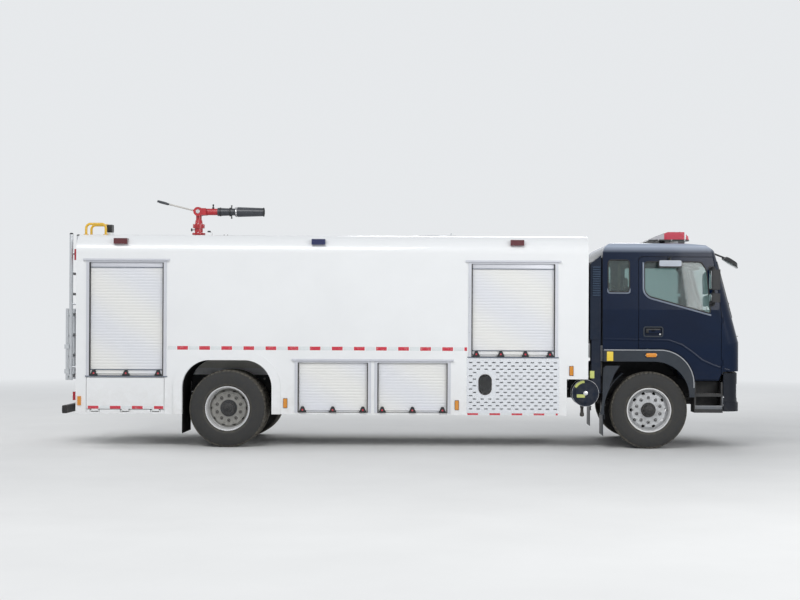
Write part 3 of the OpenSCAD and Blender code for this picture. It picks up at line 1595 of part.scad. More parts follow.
light_bar();
seats();
dashboard();
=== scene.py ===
# Finishes the fire truck for its picture: camera, light, materials and the pieces too fine for the
# solid model. Metres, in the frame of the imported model.
import json
import math

import bmesh
import bpy
import numpy as np
from mathutils import Matrix, Vector

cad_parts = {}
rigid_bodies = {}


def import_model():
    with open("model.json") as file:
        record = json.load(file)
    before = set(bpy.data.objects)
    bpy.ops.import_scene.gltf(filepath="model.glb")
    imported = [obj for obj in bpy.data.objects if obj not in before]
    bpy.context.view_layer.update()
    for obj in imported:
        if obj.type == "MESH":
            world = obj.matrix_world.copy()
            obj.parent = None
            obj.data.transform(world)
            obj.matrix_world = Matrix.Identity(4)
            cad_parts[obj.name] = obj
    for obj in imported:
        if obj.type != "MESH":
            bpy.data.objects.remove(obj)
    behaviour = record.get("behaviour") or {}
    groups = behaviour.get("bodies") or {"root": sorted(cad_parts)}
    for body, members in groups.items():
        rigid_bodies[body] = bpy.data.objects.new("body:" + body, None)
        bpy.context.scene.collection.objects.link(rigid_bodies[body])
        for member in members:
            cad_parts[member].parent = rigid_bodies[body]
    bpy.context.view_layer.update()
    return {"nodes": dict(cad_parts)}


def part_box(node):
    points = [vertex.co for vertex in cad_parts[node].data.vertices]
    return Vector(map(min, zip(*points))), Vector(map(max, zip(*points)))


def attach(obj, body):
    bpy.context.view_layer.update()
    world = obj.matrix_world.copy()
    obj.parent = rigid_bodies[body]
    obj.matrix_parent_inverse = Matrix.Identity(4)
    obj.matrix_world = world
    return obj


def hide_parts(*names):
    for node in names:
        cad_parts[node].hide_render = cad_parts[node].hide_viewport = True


for left_over in list(bpy.data.objects):
    bpy.data.objects.remove(left_over)
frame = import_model()
nodes = frame["nodes"]

# Places taken over from the solid model
REAR_AXLE_X = -2.408
FRONT_AXLE_X = 3.339
TYRE_R = 0.527
BODY_REAR_X = -4.463
BODY_FRONT_X = 2.497
BODY_Y = 1.245
BODY_TOP = 2.897
CAB_Y = 1.22
CAB_TOP = 2.812
FRONT_EDGE_Y = 1.135
REAR_EDGE_Y = 1.194
MONITOR_X = -3.013
ELBOW_Z = 3.289
SIDES = {"right": -1.0, "left": 1.0}
AHEAD, BACK, LEFT, RIGHT, UP, DOWN = (1, 0, 0), (-1, 0, 0), (0, 1, 0), (0, -1, 0), (0, 0, 1), (0, 0, -1)
# Openings of the roller shutters in the side walls: rear, front, lower and upper edge
SHUTTERS = np.array([[-4.322, -3.231, 0.966, 2.535], [-1.488, -0.452, 0.481, 1.186],
                     [-0.406, 0.629, 0.481, 1.186], [0.867, 2.084, 1.246, 2.535]])

# Camera of the photograph
scene = bpy.context.scene
camera_data = bpy.data.cameras.new("photo_camera")
camera = bpy.data.objects.new("photo_camera", camera_data)
scene.collection.objects.link(camera)
scene.camera = camera
camera_data.sensor_width = 36.0
camera_data.lens = 66.3
camera_data.shift_x = -0.064
camera_data.shift_y = 0.0247
camera_data.clip_end = 200.0
CAMERA_ROLL = math.radians(0.27)
camera.matrix_world = (Matrix.Translation((0.633, -21.25, 1.75)) @ Matrix.Rotation(math.radians(90), 4, "X")
                       @ Matrix.Rotation(CAMERA_ROLL, 4, "Z"))


# Node trees
def give(tree, socket, value):
    """Links a socket, or sets a number or colour on it."""
    if isinstance(value, bpy.types.NodeSocket):
        tree.links.new(value, socket)
    elif isinstance(value, (tuple, list)) and socket.type == "RGBA":
        socket.default_value = (*value[:3], 1.0)
    else:
        socket.default_value = value


def add_node(tree, kind, inputs=(), output=0, **settings):
    """Adds a shader node with its settings and inputs, and returns one of its outputs."""
    node = tree.nodes.new("ShaderNode" + kind)
    for key, value in settings.items():
        setattr(node, key, value)
    for key, value in inputs.items() if isinstance(inputs, dict) else enumerate(inputs):
        give(tree, node.inputs[key], value)
    return node.outputs[output]


class Finish:
    """Builds one material node by node. Every texture reads the object's own coordinates."""

    def __init__(self, name):
        self.mat = bpy.data.materials.new(name)
        self.mat.use_nodes = True
        self.tree = self.mat.node_tree
        self.tree.nodes.clear()
        self.out = self.tree.nodes.new("ShaderNodeOutputMaterial")
        self.skin = self.tree.nodes.new("ShaderNodeBsdfPrincipled")
        self.tree.links.new(self.skin.outputs[0], self.out.inputs[0])
        self.place = self.node("TexCoord", output="Object")

    def node(self, kind, inputs=(), output=0, **settings):
        return add_node(self.tree, kind, inputs, output, **settings)

    def stretched(self, scale):
        return self.node("Mapping", {"Vector": self.place, "Scale": scale})

    def noise(self, scale, detail=4.0, rough=0.55, at=None, warp=0.0):
        return self.node("TexNoise", {"Vector": at or self.place, "Scale": scale, "Detail": detail,
                                      "Roughness": rough, "Distortion": warp})

    def cells(self, scale, at=None):
        return self.node("TexVoronoi", {"Vector": at or self.place, "Scale": scale}, "Distance")

    def waves(self, scale, axis="Z"):
        return self.node("TexWave", {"Vector": self.place, "Scale": scale}, "Fac", bands_direction=axis)

    def calc(self, operation, a, b=0.0):
        return self.node("Math", (a, b), operation=operation)

    def plus(self, a, b):
        return self.calc("ADD", a, b)

    def times(self, a, b):
        return self.calc("MULTIPLY", a, b)

    def span(self, value, low, high, start=0.0, end=1.0):
        """Turns low..high of a value into start..end, evenly and no further."""
        return self.node("MapRange", (value, low, high, start, end))

    def blend(self, share, first, second):
        return self.node("Mix", {0: share, 6: first, 7: second}, 2, data_type="RGBA")

    def axis(self, letter):
        return self.node("SeparateXYZ", (self.place,), "XYZ".index(letter))

    def radius(self, x, z):
        """Distance from the line along Y through x and z."""
        dx = self.calc("SUBTRACT", self.axis("X"), x)
        dz = self.calc("SUBTRACT", self.axis("Z"), z)
        return self.calc("SQRT", self.plus(self.times(dx, dx), self.times(dz, dz)))

    def relief(self, height, strength=0.2, distance=0.001, under=None):
        inputs = {"Strength": strength, "Distance": distance, "Height": height}
        if under is not None:
            inputs["Normal"] = under
        return self.node("Bump", inputs)

    def edges(self, size=0.006):
        """Close to 1 where the surface turns sharply: rubbed corners."""
        bevel = self.node("Bevel", {"Radius": size}, samples=4)
        turn = self.node("VectorMath", (bevel, self.node("NewGeometry", output="Normal")), "Value",
                         operation="DOT_PRODUCT")
        return self.span(turn, 0.985, 0.9, 0.0, 1.0)

    def patches(self, scale, detail, rough, low, high, warp=0.0):
        """Noise stretched over 0..1 between two of its values."""
        return self.span(self.noise(scale, detail, rough, warp=warp), low, high)

    def put(self, **values):
        for key, value in values.items():
            give(self.tree, self.skin.inputs[key.replace("_", " ")], value)
        return self.mat


DUST = (0.36, 0.31, 0.24)


def scaled(colour, share):
    """A lighter or darker tone of a colour, no channel above 1."""
    return tuple(min(1.0, c * share) for c in colour)


def coated(name, colour, rough=0.3, coat=0.5, peel=0.12, dust_top=0.9, dust_share=0.35, wear=(0.2, 0.2, 0.2),
           worn=0.0, shade=0.9, shine=0.5, painted_sky_edge=None):
    """Sprayed paint: slow changes of tone, fine orange peel, road dust that fades upwards, rubbed edges, and
    where asked a painted reflection of sky as a pale band below a top height.
    """
    f = Finish(name)
    fine = f.noise(38.0, 6.0, 0.65)
    tone = f.blend(f.patches(1.3, 5.0, 0.6, 0.35, 0.65), colour, scaled(colour, shade))
    low = f.span(f.axis("Z"), 0.25, dust_top, 1.0, 0.0)
    film = f.times(f.times(low, f.patches(9.0, 8.0, 0.7, 0.35, 0.75, 0.6)), dust_share)
    dusty = f.blend(film, tone, DUST)
    if worn:
        rubbed = f.times(f.edges(), f.span(fine, 0.45, 0.6, 0.0, worn))
        dusty = f.blend(rubbed, dusty, wear)
    # Painted reflection of the sky: a pale band of colour between the given heights
    if painted_sky_edge:
        start, full, top, pale = painted_sky_edge
        share = f.times(f.span(f.axis("Z"), start, full), f.span(f.axis("Z"), top + 0.004, top))
        dusty = f.blend(share, dusty, pale)
    gloss = f.plus(f.span(fine, 0.3, 0.7, rough * 0.85, rough * 1.2), f.times(film, 0.6))
    return f.put(Base_Color=dusty, Roughness=gloss, Coat_Weight=coat, Specular_IOR_Level=shine,
                 Normal=f.relief(f.noise(230.0, 2.0), peel, 0.0006))


def metal(name, colour, rough=0.35, metallic=0.8, brushed=(6.0, 6.0, 160.0), grain=0.1, stain=0.3, dark=0.6):
    """Bare or lacquered metal: drawn grain along one axis, water stains and duller patches."""
    f = Finish(name)
    streak = f.noise(1.0, 6.0, 0.6, at=f.stretched(brushed))
    patch = f.patches(3.5, 7.0, 0.65, 0.42, 0.7, 0.4)
    tone = f.blend(f.times(patch, stain), colour, scaled(colour, dark))
    tone = f.blend(f.span(streak, 0.3, 0.7, 0.0, 0.16), tone, scaled(colour, 1.15))
    return f.put(Base_Color=tone, Metallic=metallic, Normal=f.relief(streak, grain, 0.0004),
                 Roughness=f.plus(f.span(streak, 0.3, 0.7, rough * 0.8, rough * 1.25), f.times(patch, 0.12)))


def moulded(name, colour, rough=0.55, grain=420.0, depth=0.25, dust_share=0.3, dust_top=1.4, fade=1.3,
            shine=0.5):
    """Moulded plastic or rubber: leathery grain, sun-faded patches and dust that settles low down."""
    f = Finish(name)
    patch = f.noise(2.2, 6.0, 0.6)
    tone = f.blend(f.span(patch, 0.35, 0.7), colour, scaled(colour, fade))
    low = f.span(f.axis("Z"), 0.2, dust_top, 1.0, 0.15)
    film = f.times(f.times(low, f.patches(14.0, 8.0, 0.7, 0.35, 0.7)), dust_share)
    return f.put(Base_Color=f.blend(film, tone, DUST), Normal=f.relief(f.cells(grain), depth, 0.0004),
                 Specular_IOR_Level=shine,
                 Roughness=f.span(patch, 0.3, 0.7, rough * 0.88, min(0.95, rough * 1.15)))


def lens(name, colour, rough=0.12, ribs=90.0, rib_axis="X", through=0.35):
    """Coloured lamp cover: optic ribs inside, a little light passing through, fine scratches."""
    f = Finish(name)
    rib = f.waves(ribs, rib_axis)
    tone = f.blend(f.span(rib, 0.2, 0.8, 0.0, 0.35), colour, scaled(colour, 0.55))
    return f.put(Base_Color=tone, Roughness=f.span(f.noise(60.0, 8.0, 0.7), 0.4, 0.7, rough, rough * 1.8),
                 Transmission_Weight=through, Coat_Weight=0.4, Normal=f.relief(rib, 0.25, 0.001))


# Surfaces computed on grids
def volume_of(rings):
    """Six times the signed volume of each closed stack of rings, ends included."""
    a, b = rings[:, :-1], rings[:, 1:]
    a2, b2 = np.roll(a, -1, axis=2), np.roll(b, -1, axis=2)
    side = np.einsum("...i,...i", a, np.cross(a2, b2)) + np.einsum("...i,...i", a, np.cross(b2, b))
    total = side.sum(axis=(1, 2))
    for ring, sign in ((rings[:, 0], -1.0), (rings[:, -1], 1.0)):
        fan = np.einsum("...i,...i", ring[:, :1], np.cross(ring[:, :-1], ring[:, 1:]))
        total = total + sign * fan.sum(axis=1)
    return total


def link_mesh(name, mesh, mat):
    """Puts a mesh into the scene as an object with one material."""
    mesh.materials.append(mat)
    obj = bpy.data.objects.new(name, mesh)
    scene.collection.objects.link(obj)
    return obj


def piece(name, mat, body, verts, faces, sharp=38.0):
    """One mesh object in its place, smooth except at edges sharper than the angle, riding on a body."""
    mesh = bpy.data.meshes.new(name)
    mesh.from_pydata(np.asarray(verts, float).reshape(-1, 3).tolist(), [], faces)
    mesh.update()
    mesh.shade_smooth()
    mesh.set_sharp_from_angle(angle=math.radians(sharp))
    obj = link_mesh(name, mesh, mat)
    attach(obj, body)
    return obj


def skin_rings(name, rings, mat, body, ring_loop=False, sharp=38.0):
    """Skins stacks of closed rings, rings[solid, ring, point]; ends are capped unless the stack is a loop."""
    rings = np.asarray(rings, float)
    if rings.ndim == 3:
        rings = rings[None]
    solids, stack, points, _ = rings.shape
    if not ring_loop:
        inside_out = volume_of(rings) < 0
        rings = np.where(inside_out[:, None, None, None], rings[:, :, ::-1], rings)
    start = np.arange(solids)[:, None, None] * stack * points
    row = np.arange(stack if ring_loop else stack - 1)[None, :, None]
    col = np.arange(points)[None, None, :]
    row2, col2 = (row + 1) % stack, (col + 1) % points
    corners = [start + r * points + c for r, c in ((row, col), (row, col2), (row2, col2), (row2, col))]
    faces = np.stack([np.broadcast_to(c, (solids, row.shape[1], points)) for c in corners], -1)
    faces = faces.reshape(-1, 4).tolist()
    if not ring_loop:
        first = (np.arange(solids) * stack * points)[:, None] + np.arange(points)[::-1]
        last = (np.arange(solids) * stack * points + (stack - 1) * points)[:, None] + np.arange(points)
        faces += first.tolist() + last.tolist()
    return piece(name, mat, body, rings, faces, sharp)


def unit(v):
    v = np.asarray(v, float)
    return v / np.maximum(np.linalg.norm(v, axis=-1, keepdims=True), 1e-12)


def frames_for(normal, count):
    """Axes u, v and w for each instance, w along the normal and v as near upwards as can be."""
    w = np.broadcast_to(unit(normal), (count, 3))
    up = np.where(np.abs(w[:, 2:3]) > 0.9, np.array([[1.0, 0.0, 0.0]]), np.array([[0.0, 0.0, 1.0]]))
    u = unit(np.cross(up, w))
    return u, np.cross(w, u), w


def lifted(centres, axes, flat, lift):
    """Flat shapes (n, rings, points, 2), each ring raised by its lift, in the axes at the centres."""
    u, v, w = axes
    return (centres[:, None, None] + flat[..., :1] * u[:, None, None] + flat[..., 1:] * v[:, None, None]
            + lift[None, :, None, None] * w[:, None, None])


def outline(width, height, corner):
    """Rounded rectangle round the origin: six points on each corner's quarter circle."""
    width, height, corner = np.broadcast_arrays(*(np.atleast_1d(size) for size in (width, height, corner)))
    corner = np.minimum(corner, np.minimum(width, height) * 0.4999)[:, None]
    angle = np.linspace(0, math.pi / 2, 6)
    quarter = np.concatenate([angle + math.pi / 2 * k for k in range(4)])
    side = np.repeat(np.array([[1, 1], [-1, 1], [-1, -1], [1, -1]]), len(angle), axis=0)
    x = side[:, 0] * (width[:, None] / 2 - corner) + corner * np.cos(quarter)
    y = side[:, 1] * (height[:, None] / 2 - corner) + corner * np.sin(quarter)
    return np.stack([x, y], -1)


def pads(name, mat, body, centres, normal, width, height, thick, corner=0.004, edge=0.001, dome=0.0):
    """Rounded plates, their backs on the given centres. The rim turns over a quarter circle of the edge's
    size, and the face swells by the dome towards its middle."""
    centres = np.atleast_2d(np.asarray(centres, float))
    shape = outline(width, height, corner)
    shape = np.broadcast_to(shape, (len(centres), *shape.shape[1:]))
    half = np.abs(shape).max(axis=1, keepdims=True)
    turn = np.linspace(0, math.pi / 2, 4)
    inset = np.concatenate([[0.0], edge * (1 - np.cos(turn)), [edge * 2.5] if dome else []])
    lift = np.concatenate([[0.0], thick - edge + edge * np.sin(turn), [thick + dome * 0.35] if dome else []])
    flat = shape[:, None] * (1 - inset[None, :, None, None] / half[:, None])
    if dome:
        for share, rise in ((0.6, 0.75), (0.25, 1.0)):
            flat = np.concatenate([flat, shape[:, None] * share], axis=1)
            lift = np.append(lift, thick + dome * rise)
    return skin_rings(name, lifted(centres, frames_for(normal, len(centres)), flat, lift), mat, body)


def slab(name, mat, body, shape, centres, normal, thick, edge=0.0008):
    """Flat plates of one outline (m, 2) with a chamfered rim, round the centres."""
    centres = np.atleast_2d(np.asarray(centres, float))
    shape = np.broadcast_to(shape, (len(centres), *shape.shape))
    size = np.abs(shape).max(axis=(1, 2))[:, None, None, None]
    flat = shape[:, None] * (1 - np.array([0.0, 0.0, edge])[None, :, None, None] / size)
    lift = np.array([0.0, thick - edge, thick])
    rings = lifted(centres, frames_for(normal, len(centres)), flat, lift)
    return skin_rings(name, rings, mat, body, sharp=30.0)


def turned(name, mat, body, centres, axis, profile, sides=32, sharp=38.0):
    """Turned solids: the profile's (radius, height) points go round the axis through each centre."""
    centres = np.atleast_2d(np.asarray(centres, float))
    u, v, w = frames_for(axis, len(centres))
    angle = np.arange(sides) * 2 * math.pi / sides
    profile = np.asarray(profile, float)
    radial = np.cos(angle)[None, :, None] * u[:, None] + np.sin(angle)[None, :, None] * v[:, None]
    rings = (centres[:, None, None] + profile[None, :, :1, None] * radial[:, None]
             + profile[None, :, 1:2, None] * w[:, None, None])
    return skin_rings(name, rings, mat, body, sharp=sharp)


def hoop(name, mat, body, centre, axis, section, sides=180):
    """A ring: a closed (radius, height) section going all the way round an axis."""
    u, v, w = frames_for(axis, 1)
    angle = np.arange(sides) * 2 * math.pi / sides
    section = np.asarray(section, float)
    radial = np.cos(angle)[:, None] * u + np.sin(angle)[:, None] * v
    rings = np.asarray(centre, float) + section[None, :, :1] * radial[:, None] + section[None, :, 1:] * w[0]
    after = np.roll(section, -1, axis=0)
    if np.sum(section[:, 0] * after[:, 1] - after[:, 0] * section[:, 1]) > 0:
        rings = rings[:, ::-1]
    return skin_rings(name, rings, mat, body, ring_loop=True)


def rounded_path(points, bend, steps=6):
    """The straight stretches between the points, joined by curves that start a bend's length before each."""
    points = np.asarray(points, float)
    out = [points[:1]]
    share = np.linspace(0, 1, steps)[:, None]
    for before, at, after in zip(points[:-2], points[1:-1], points[2:]):
        start, end = (at + unit(far - at) * min(bend, np.linalg.norm(far - at) * 0.49) for far in (before,
                                                                                                   after))
        out.append(start * (1 - share) ** 2 + 2 * at * share * (1 - share) + end * share ** 2)
    out.append(points[-1:])
    return np.concatenate(out)


def swept(name, mat, body, path, up, section):
    """A section (m, 2) carried along a path (n, 3); its first column points aside, its second upwards."""
    path = np.asarray(path, float)[None]
    ahead = unit(np.gradient(path, axis=1))
    aside = unit(np.cross(np.broadcast_to(np.asarray(up, float), ahead.shape), ahead))
    above = np.cross(ahead, aside)
    section = np.asarray(section, float)
    rings = (path[:, :, None] + section[None, None, :, :1] * aside[:, :, None]
             + section[None, None, :, 1:] * above[:, :, None])
    return skin_rings(name, rings, mat, body)


def tube(name, mat, body, points, up, radius, bend=0.03, sides=14):
    """A round pipe, hose or wire through the points, with rounded turns."""
    angle = np.arange(sides) * 2 * math.pi / sides
    section = radius * np.stack([np.cos(angle), np.sin(angle)], -1)
    return swept(name, mat, body, rounded_path(points, bend), up, section)


def rivets(name, mat, body, centres, normal, radius=0.006, height=0.003):
    """Domed heads: the radius shrinks with the cosine of the height's angle."""
    turn = np.linspace(0, math.pi / 2 * 0.9, 4)
    profile = np.stack([radius * np.cos(turn), height * np.sin(turn)], -1)
    return turned(name, mat, body, centres, normal, profile, sides=12)


def bolts(name, mat, body, centres, normal, across=0.018, height=0.011):
    """Hexagon heads on washers."""
    centres = np.atleast_2d(np.asarray(centres, float))
    r = across / 2
    washer = [(r * 1.45, 0.0), (r * 1.45, height * 0.16), (r * 1.35, height * 0.2), (r * 1.02, height * 0.2)]
    head = [(r, height * 0.18), (r * 1.02, height * 0.85), (r * 0.84, height)]
    turned(name + "_washers", mat, body, centres, normal, washer, sides=20)
    return turned(name, mat, body, centres, normal, head, sides=6, sharp=25.0)


def strip(name, mat, body, path, normal, width, thick):
    """A flat seal, seam or tape along a path: a low rounded section lying on the surface with that normal."""
    half = width / 2
    section = [(-half, 0), (half, 0), (half, thick * 0.6), (half * 0.75, thick), (-half * 0.75, thick),
               (-half, thick * 0.6)]
    return swept(name, mat, body, path, normal, section)


def at_y(path, y):
    """Points of an upright plane at one Y, from X and Z."""
    x, z = np.asarray(path, float).T
    return np.stack([x, np.full(len(x), y), z], -1)


def circle_of(centre, radius, count, start=0.0, plane=(0, 1)):
    """Evenly spread points of a circle in the plane of two axes."""
    angle = start + np.arange(count) * 2 * math.pi / count
    places = np.tile(np.asarray(centre, float), (count, 1))
    places[:, plane[0]] += radius * np.cos(angle)
    places[:, plane[1]] += radius * np.sin(angle)
    return places


def on_side(points, side):
    """Moves points of the +Y half to the side asked for."""
    return np.asarray(points, float) * np.array([1.0, side, 1.0])


def both(make, name, mat, body, points, normal, *sizes, **more):
    """Makes a piece of the left side and its mirror image on the right one. A body that ends in an
    underscore gets the side's name too."""
    for hand, side in SIDES.items():
        make(name + "_" + hand, mat, body + hand if body.endswith("_") else body, on_side(points, side),
             on_side(normal, side), *sizes, **more)


# Materials
def slat_material():
    """Lacquered aluminium slats: slow diagonal drifts of cream and lavender, drawn grain, thin dirt lines."""
    f = Finish("slat_metal")
    slant = f.calc("SINE", f.times(f.plus(f.axis("X"), f.times(f.axis("Z"), 1.4)), 4.3))
    drift = f.span(f.plus(slant, f.times(f.noise(1.6, 4.0), 0.8)), -0.6, 1.4)
    tone = f.blend(drift, (0.72, 0.73, 0.765), (0.78, 0.775, 0.75))
    streak = f.noise(1.0, 6.0, 0.6, at=f.stretched((2.0, 2.0, 300.0)))
    tone = f.blend(f.span(streak, 0.35, 0.7, 0.0, 0.12), tone, (0.86, 0.86, 0.86))
    return f.put(Base_Color=tone, Metallic=0.1, Roughness=f.span(streak, 0.3, 0.7, 0.48, 0.6),
                 Specular_IOR_Level=0.35, Normal=f.relief(streak, 0.08, 0.0004))


def window_material():
    """Tinted safety glass with a faint film of dirt and wiper marks."""
    f = Finish("window_tint")
    film = f.span(f.noise(5.0, 8.0, 0.7, warp=1.2), 0.42, 0.8, 0.0, 0.35)
    return f.put(Base_Color=f.blend(film, (0.45, 0.57, 0.56), (0.38, 0.43, 0.42)),
                 Roughness=f.plus(0.015, f.times(film, 0.25)), Transmission_Weight=0.94,
                 Specular_IOR_Level=0.2, Normal=f.relief(f.noise(2.0), 0.02, 0.002))


def tyre_material():
    """Dark rubber: brown-grey dust on the tread and shoulder, cleaner bands round the sidewall."""
    f = Finish("tyre_rubber")
    r = f.calc("MINIMUM", f.radius(FRONT_AXLE_X, TYRE_R), f.radius(REAR_AXLE_X, TYRE_R))
    dirt = f.noise(16.0, 8.0, 0.7, warp=0.5)
    dusty = f.calc("MAXIMUM", f.span(r, 0.498, 0.518, 0.0, 1.0), f.span(r, 0.345, 0.305, 0.0, 0.6))
    film = f.times(f.plus(dusty, 0.17), f.span(dirt, 0.35, 0.7, 0.1, 0.8))
    ring = f.calc("SINE", f.times(r, 900.0))
    band = f.times(ring, f.times(f.span(r, 0.36, 0.38), f.span(r, 0.47, 0.45)))
    return f.put(Base_Color=f.blend(film, (0.016, 0.017, 0.019), (0.205, 0.185, 0.145)),
                 Roughness=f.span(dirt, 0.3, 0.7, 0.62, 0.9),
                 Normal=f.relief(f.plus(f.times(band, 0.5), f.noise(240.0, 3.0)), 0.35, 0.0006))


def rim_material(name, axle_x, disc, ring, ring_from, hub_from, hub):
    """Painted steel wheel: lighter rim ring, disc, dark hub, brake dust round the holes."""
    f = Finish(name)
    r = f.radius(axle_x, TYRE_R)
    dirt = f.noise(22.0, 8.0, 0.7, warp=0.4)
    tone = f.blend(f.span(r, ring_from, ring_from + 0.004), disc, ring)
    tone = f.blend(f.span(r, hub_from + 0.002, hub_from), tone, hub)
    soot = f.times(f.span(dirt, 0.4, 0.72), f.span(r, 0.275, 0.2, 0.12, 0.5))
    tone = f.blend(soot, tone, (0.09, 0.075, 0.06))
    tone = f.blend(f.times(f.edges(0.004), 0.4), tone, (0.42, 0.4, 0.38))
    return f.put(Base_Color=tone, Metallic=0.35, Roughness=f.span(dirt, 0.3, 0.7, 0.3, 0.5), Coat_Weight=0.2,
                 Normal=f.relief(f.noise(180.0, 3.0), 0.15, 0.0005))


def monitor_material():
    """Red castings, a black nozzle ahead of the flange, pale tiller arms with black grips behind."""
    f = Finish("monitor_barrel")
    x = f.axis("X")
    patch = f.noise(7.0, 6.0, 0.6)
    red = f.blend(f.span(patch, 0.35, 0.7), (0.55, 0.02, 0.03), (0.4, 0.02, 0.028))
    black = f.blend(f.span(patch, 0.35, 0.7), (0.022, 0.025, 0.032), (0.045, 0.05, 0.06))
    tone = f.blend(f.span(x, -2.7402, -2.7398), red, black)
    tone = f.blend(f.span(x, -3.0848, -3.0852), tone, (0.6, 0.58, 0.54))
    tone = f.blend(f.span(x, -3.425, -3.4254), tone, (0.03, 0.035, 0.045))
    rubbed = f.times(f.edges(0.004), f.span(f.noise(50.0), 0.4, 0.6, 0.0, 0.5))
    return f.put(Base_Color=f.blend(rubbed, tone, (0.35, 0.28, 0.25)),
                 Roughness=f.span(patch, 0.3, 0.7, 0.3, 0.45), Coat_Weight=0.25,
                 Normal=f.relief(f.noise(300.0, 3.0), 0.4, 0.0005))


def lamps_material():
    """Beacons at the eaves, one of them blue, and amber marker lamps lower down."""
    f = Finish("body_lamps")
    middle_pair = f.span(f.calc("ABSOLUTE", f.plus(f.axis("X"), 1.174)), 0.3, 0.299)
    tone = f.blend(middle_pair, (0.13, 0.006, 0.012), (0.006, 0.014, 0.11))
    tone = f.blend(f.span(f.axis("Z"), 1.6, 1.601), (0.95, 0.36, 0.03), tone)
    rib = f.waves(28.0, "X")
    tone = f.blend(f.span(rib, 0.2, 0.8, 0.0, 0.4), tone, f.blend(0.6, tone, (0.02, 0.02, 0.03)))
    return f.put(Base_Color=tone, Roughness=f.span(f.noise(60.0), 0.4, 0.7, 0.1, 0.2),
                 Transmission_Weight=0.2, Coat_Weight=0.5, Normal=f.relief(rib, 0.3, 0.002))


def fabric_material(name, deep, thread, rubbed, count):
    """Woven cloth: two crossing rows of threads, lighter where it is rubbed."""
    f = Finish(name)
    weft, warp = (f.calc("ABSOLUTE", f.calc("SINE", f.times(f.plus(f.axis(letter), f.axis("X")),
                                                            count * 3.0))) for letter in "YZ")
    weave = f.times(weft, warp)
    tone = f.blend(weave, deep, f.blend(f.span(f.noise(3.0, 5.0), 0.4, 0.7), thread, rubbed))
    return f.put(Base_Color=tone, Roughness=0.9, Sheen_Weight=0.25, Normal=f.relief(weave, 0.4, 0.0006))


def roof_material():
    """White roof with a walkway of raised chequer marks, dulled by dirt."""
    f = Finish("roof_white")
    dirt = f.noise(2.2, 8.0, 0.65, warp=0.5)
    top = f.span(f.axis("Z"), BODY_TOP - 0.012, BODY_TOP - 0.004)
    film = f.times(top, f.span(dirt, 0.4, 0.75, 0.0, 0.4))
    mark = f.span(f.cells(22.0, f.stretched((1.0, 2.2, 1.0))), 0.25, 0.18)
    return f.put(Base_Color=f.blend(film, WHITE, (0.42, 0.4, 0.36)),
                 Roughness=f.span(dirt, 0.3, 0.7, 0.25, 0.42), Coat_Weight=0.4,
                 Normal=f.relief(f.times(f.times(mark, top), 4.0), 0.3, 0.001,
                                 f.relief(f.noise(230.0, 2.0), 0.1, 0.0006)))


def bar_material():
    """Light bar: black base, pale sloping tail, red lens with a clear front edge."""
    f = Finish("light_bar")
    x = f.axis("X")
    rib = f.waves(60.0, "Y")
    red = f.blend(f.span(rib, 0.2, 0.8, 0.0, 0.35), (0.62, 0.01, 0.05), (0.36, 0.006, 0.03))
    tone = f.blend(f.span(x, 3.5599, 3.5601), (0.5, 0.5, 0.53), red)
    clear_band = f.times(f.span(x, 3.8399, 3.8401), f.span(x, 3.8601, 3.8599))
    tone = f.blend(clear_band, tone, (0.8, 0.84, 0.86))
    tone = f.blend(f.span(f.axis("Z"), 2.8661, 2.8659), tone, (0.022, 0.024, 0.028))
    return f.put(Base_Color=tone, Roughness=f.span(f.noise(60.0, 8.0, 0.7), 0.4, 0.7, 0.14, 0.26),
                 Transmission_Weight=0.12, Coat_Weight=0.4, Normal=f.relief(rib, 0.25, 0.001))


def tape_material(name, colour):
    """Prismatic reflecting tape: a honeycomb of cells under a clear film, scuffed here and there."""
    f = Finish(name)
    comb = f.cells(260.0)
    scuff = f.span(f.noise(20.0, 8.0, 0.7), 0.5, 0.8, 0.0, 0.5)
    tone = f.blend(f.span(comb, 0.2, 0.6, 0.0, 0.3), colour, tuple(min(1.0, c * 1.4 + 0.03) for c in colour))
    return f.put(Base_Color=f.blend(scuff, tone, (0.55, 0.53, 0.5)), Coat_Weight=0.5,
                 Roughness=f.span(scuff, 0.0, 0.5, 0.22, 0.4), Normal=f.relief(comb, 0.15, 0.0003))


WHITE = (0.84, 0.85, 0.855)
NAVY = (0.003, 0.0105, 0.033)
# Painted reflection of the sky, a pale line along the cab roof's edge: heights where it starts, is full and
# ends, and its tone
ROOF_SKY_SHEEN = (2.675, 2.765, 2.806, (0.35, 0.4, 0.49))
white_paint = coated("white_gloss", WHITE, rough=0.44, coat=0.1, dust_top=1.05, dust_share=0.3, shade=0.97)
# Navy cab paint, with a painted sky reflection as a pale band along the roof edge
navy_paint = coated("navy_gloss", NAVY, rough=0.18, coat=0.08, dust_top=1.3, dust_share=0.035, shade=0.8,
                    shine=0.19, painted_sky_edge=ROOF_SKY_SHEEN)
chassis_paint = coated("chassis_black", (0.01, 0.011, 0.014), rough=0.5, coat=0.05, peel=0.3, dust_top=1.1,
                       dust_share=0.16, wear=(0.08, 0.07, 0.065), worn=0.4, shine=0.3)
bumper_black = coated("bumper_black", (0.007, 0.01, 0.017), rough=0.34, coat=0.04, peel=0.3, dust_share=0.08,
                      shine=0.22)
nut_black = coated("nut_black", (0.014, 0.014, 0.016), rough=0.4, coat=0.0, dust_share=0.12,
                   wear=(0.1, 0.09, 0.08), worn=0.5)
cast_red = coated("cast_red", (0.5, 0.018, 0.028), rough=0.34, coat=0.35, peel=0.45, dust_top=0.5,
                  wear=(0.3, 0.2, 0.16), worn=0.5, shade=0.82)
yellow_paint = coated("rail_yellow", (0.8, 0.48, 0.03), rough=0.36, coat=0.3, peel=0.3, dust_top=0.5,
                      wear=(0.45, 0.42, 0.36), worn=0.7)
intake_plastic = moulded("intake_plastic", (0.006, 0.012, 0.026), rough=0.6, depth=0.2, dust_share=0.12,
                         shine=0.2)
slat_plastic = moulded("slat_plastic", (0.032, 0.05, 0.082), rough=0.5, depth=0.2, dust_share=0.1, shine=0.25)
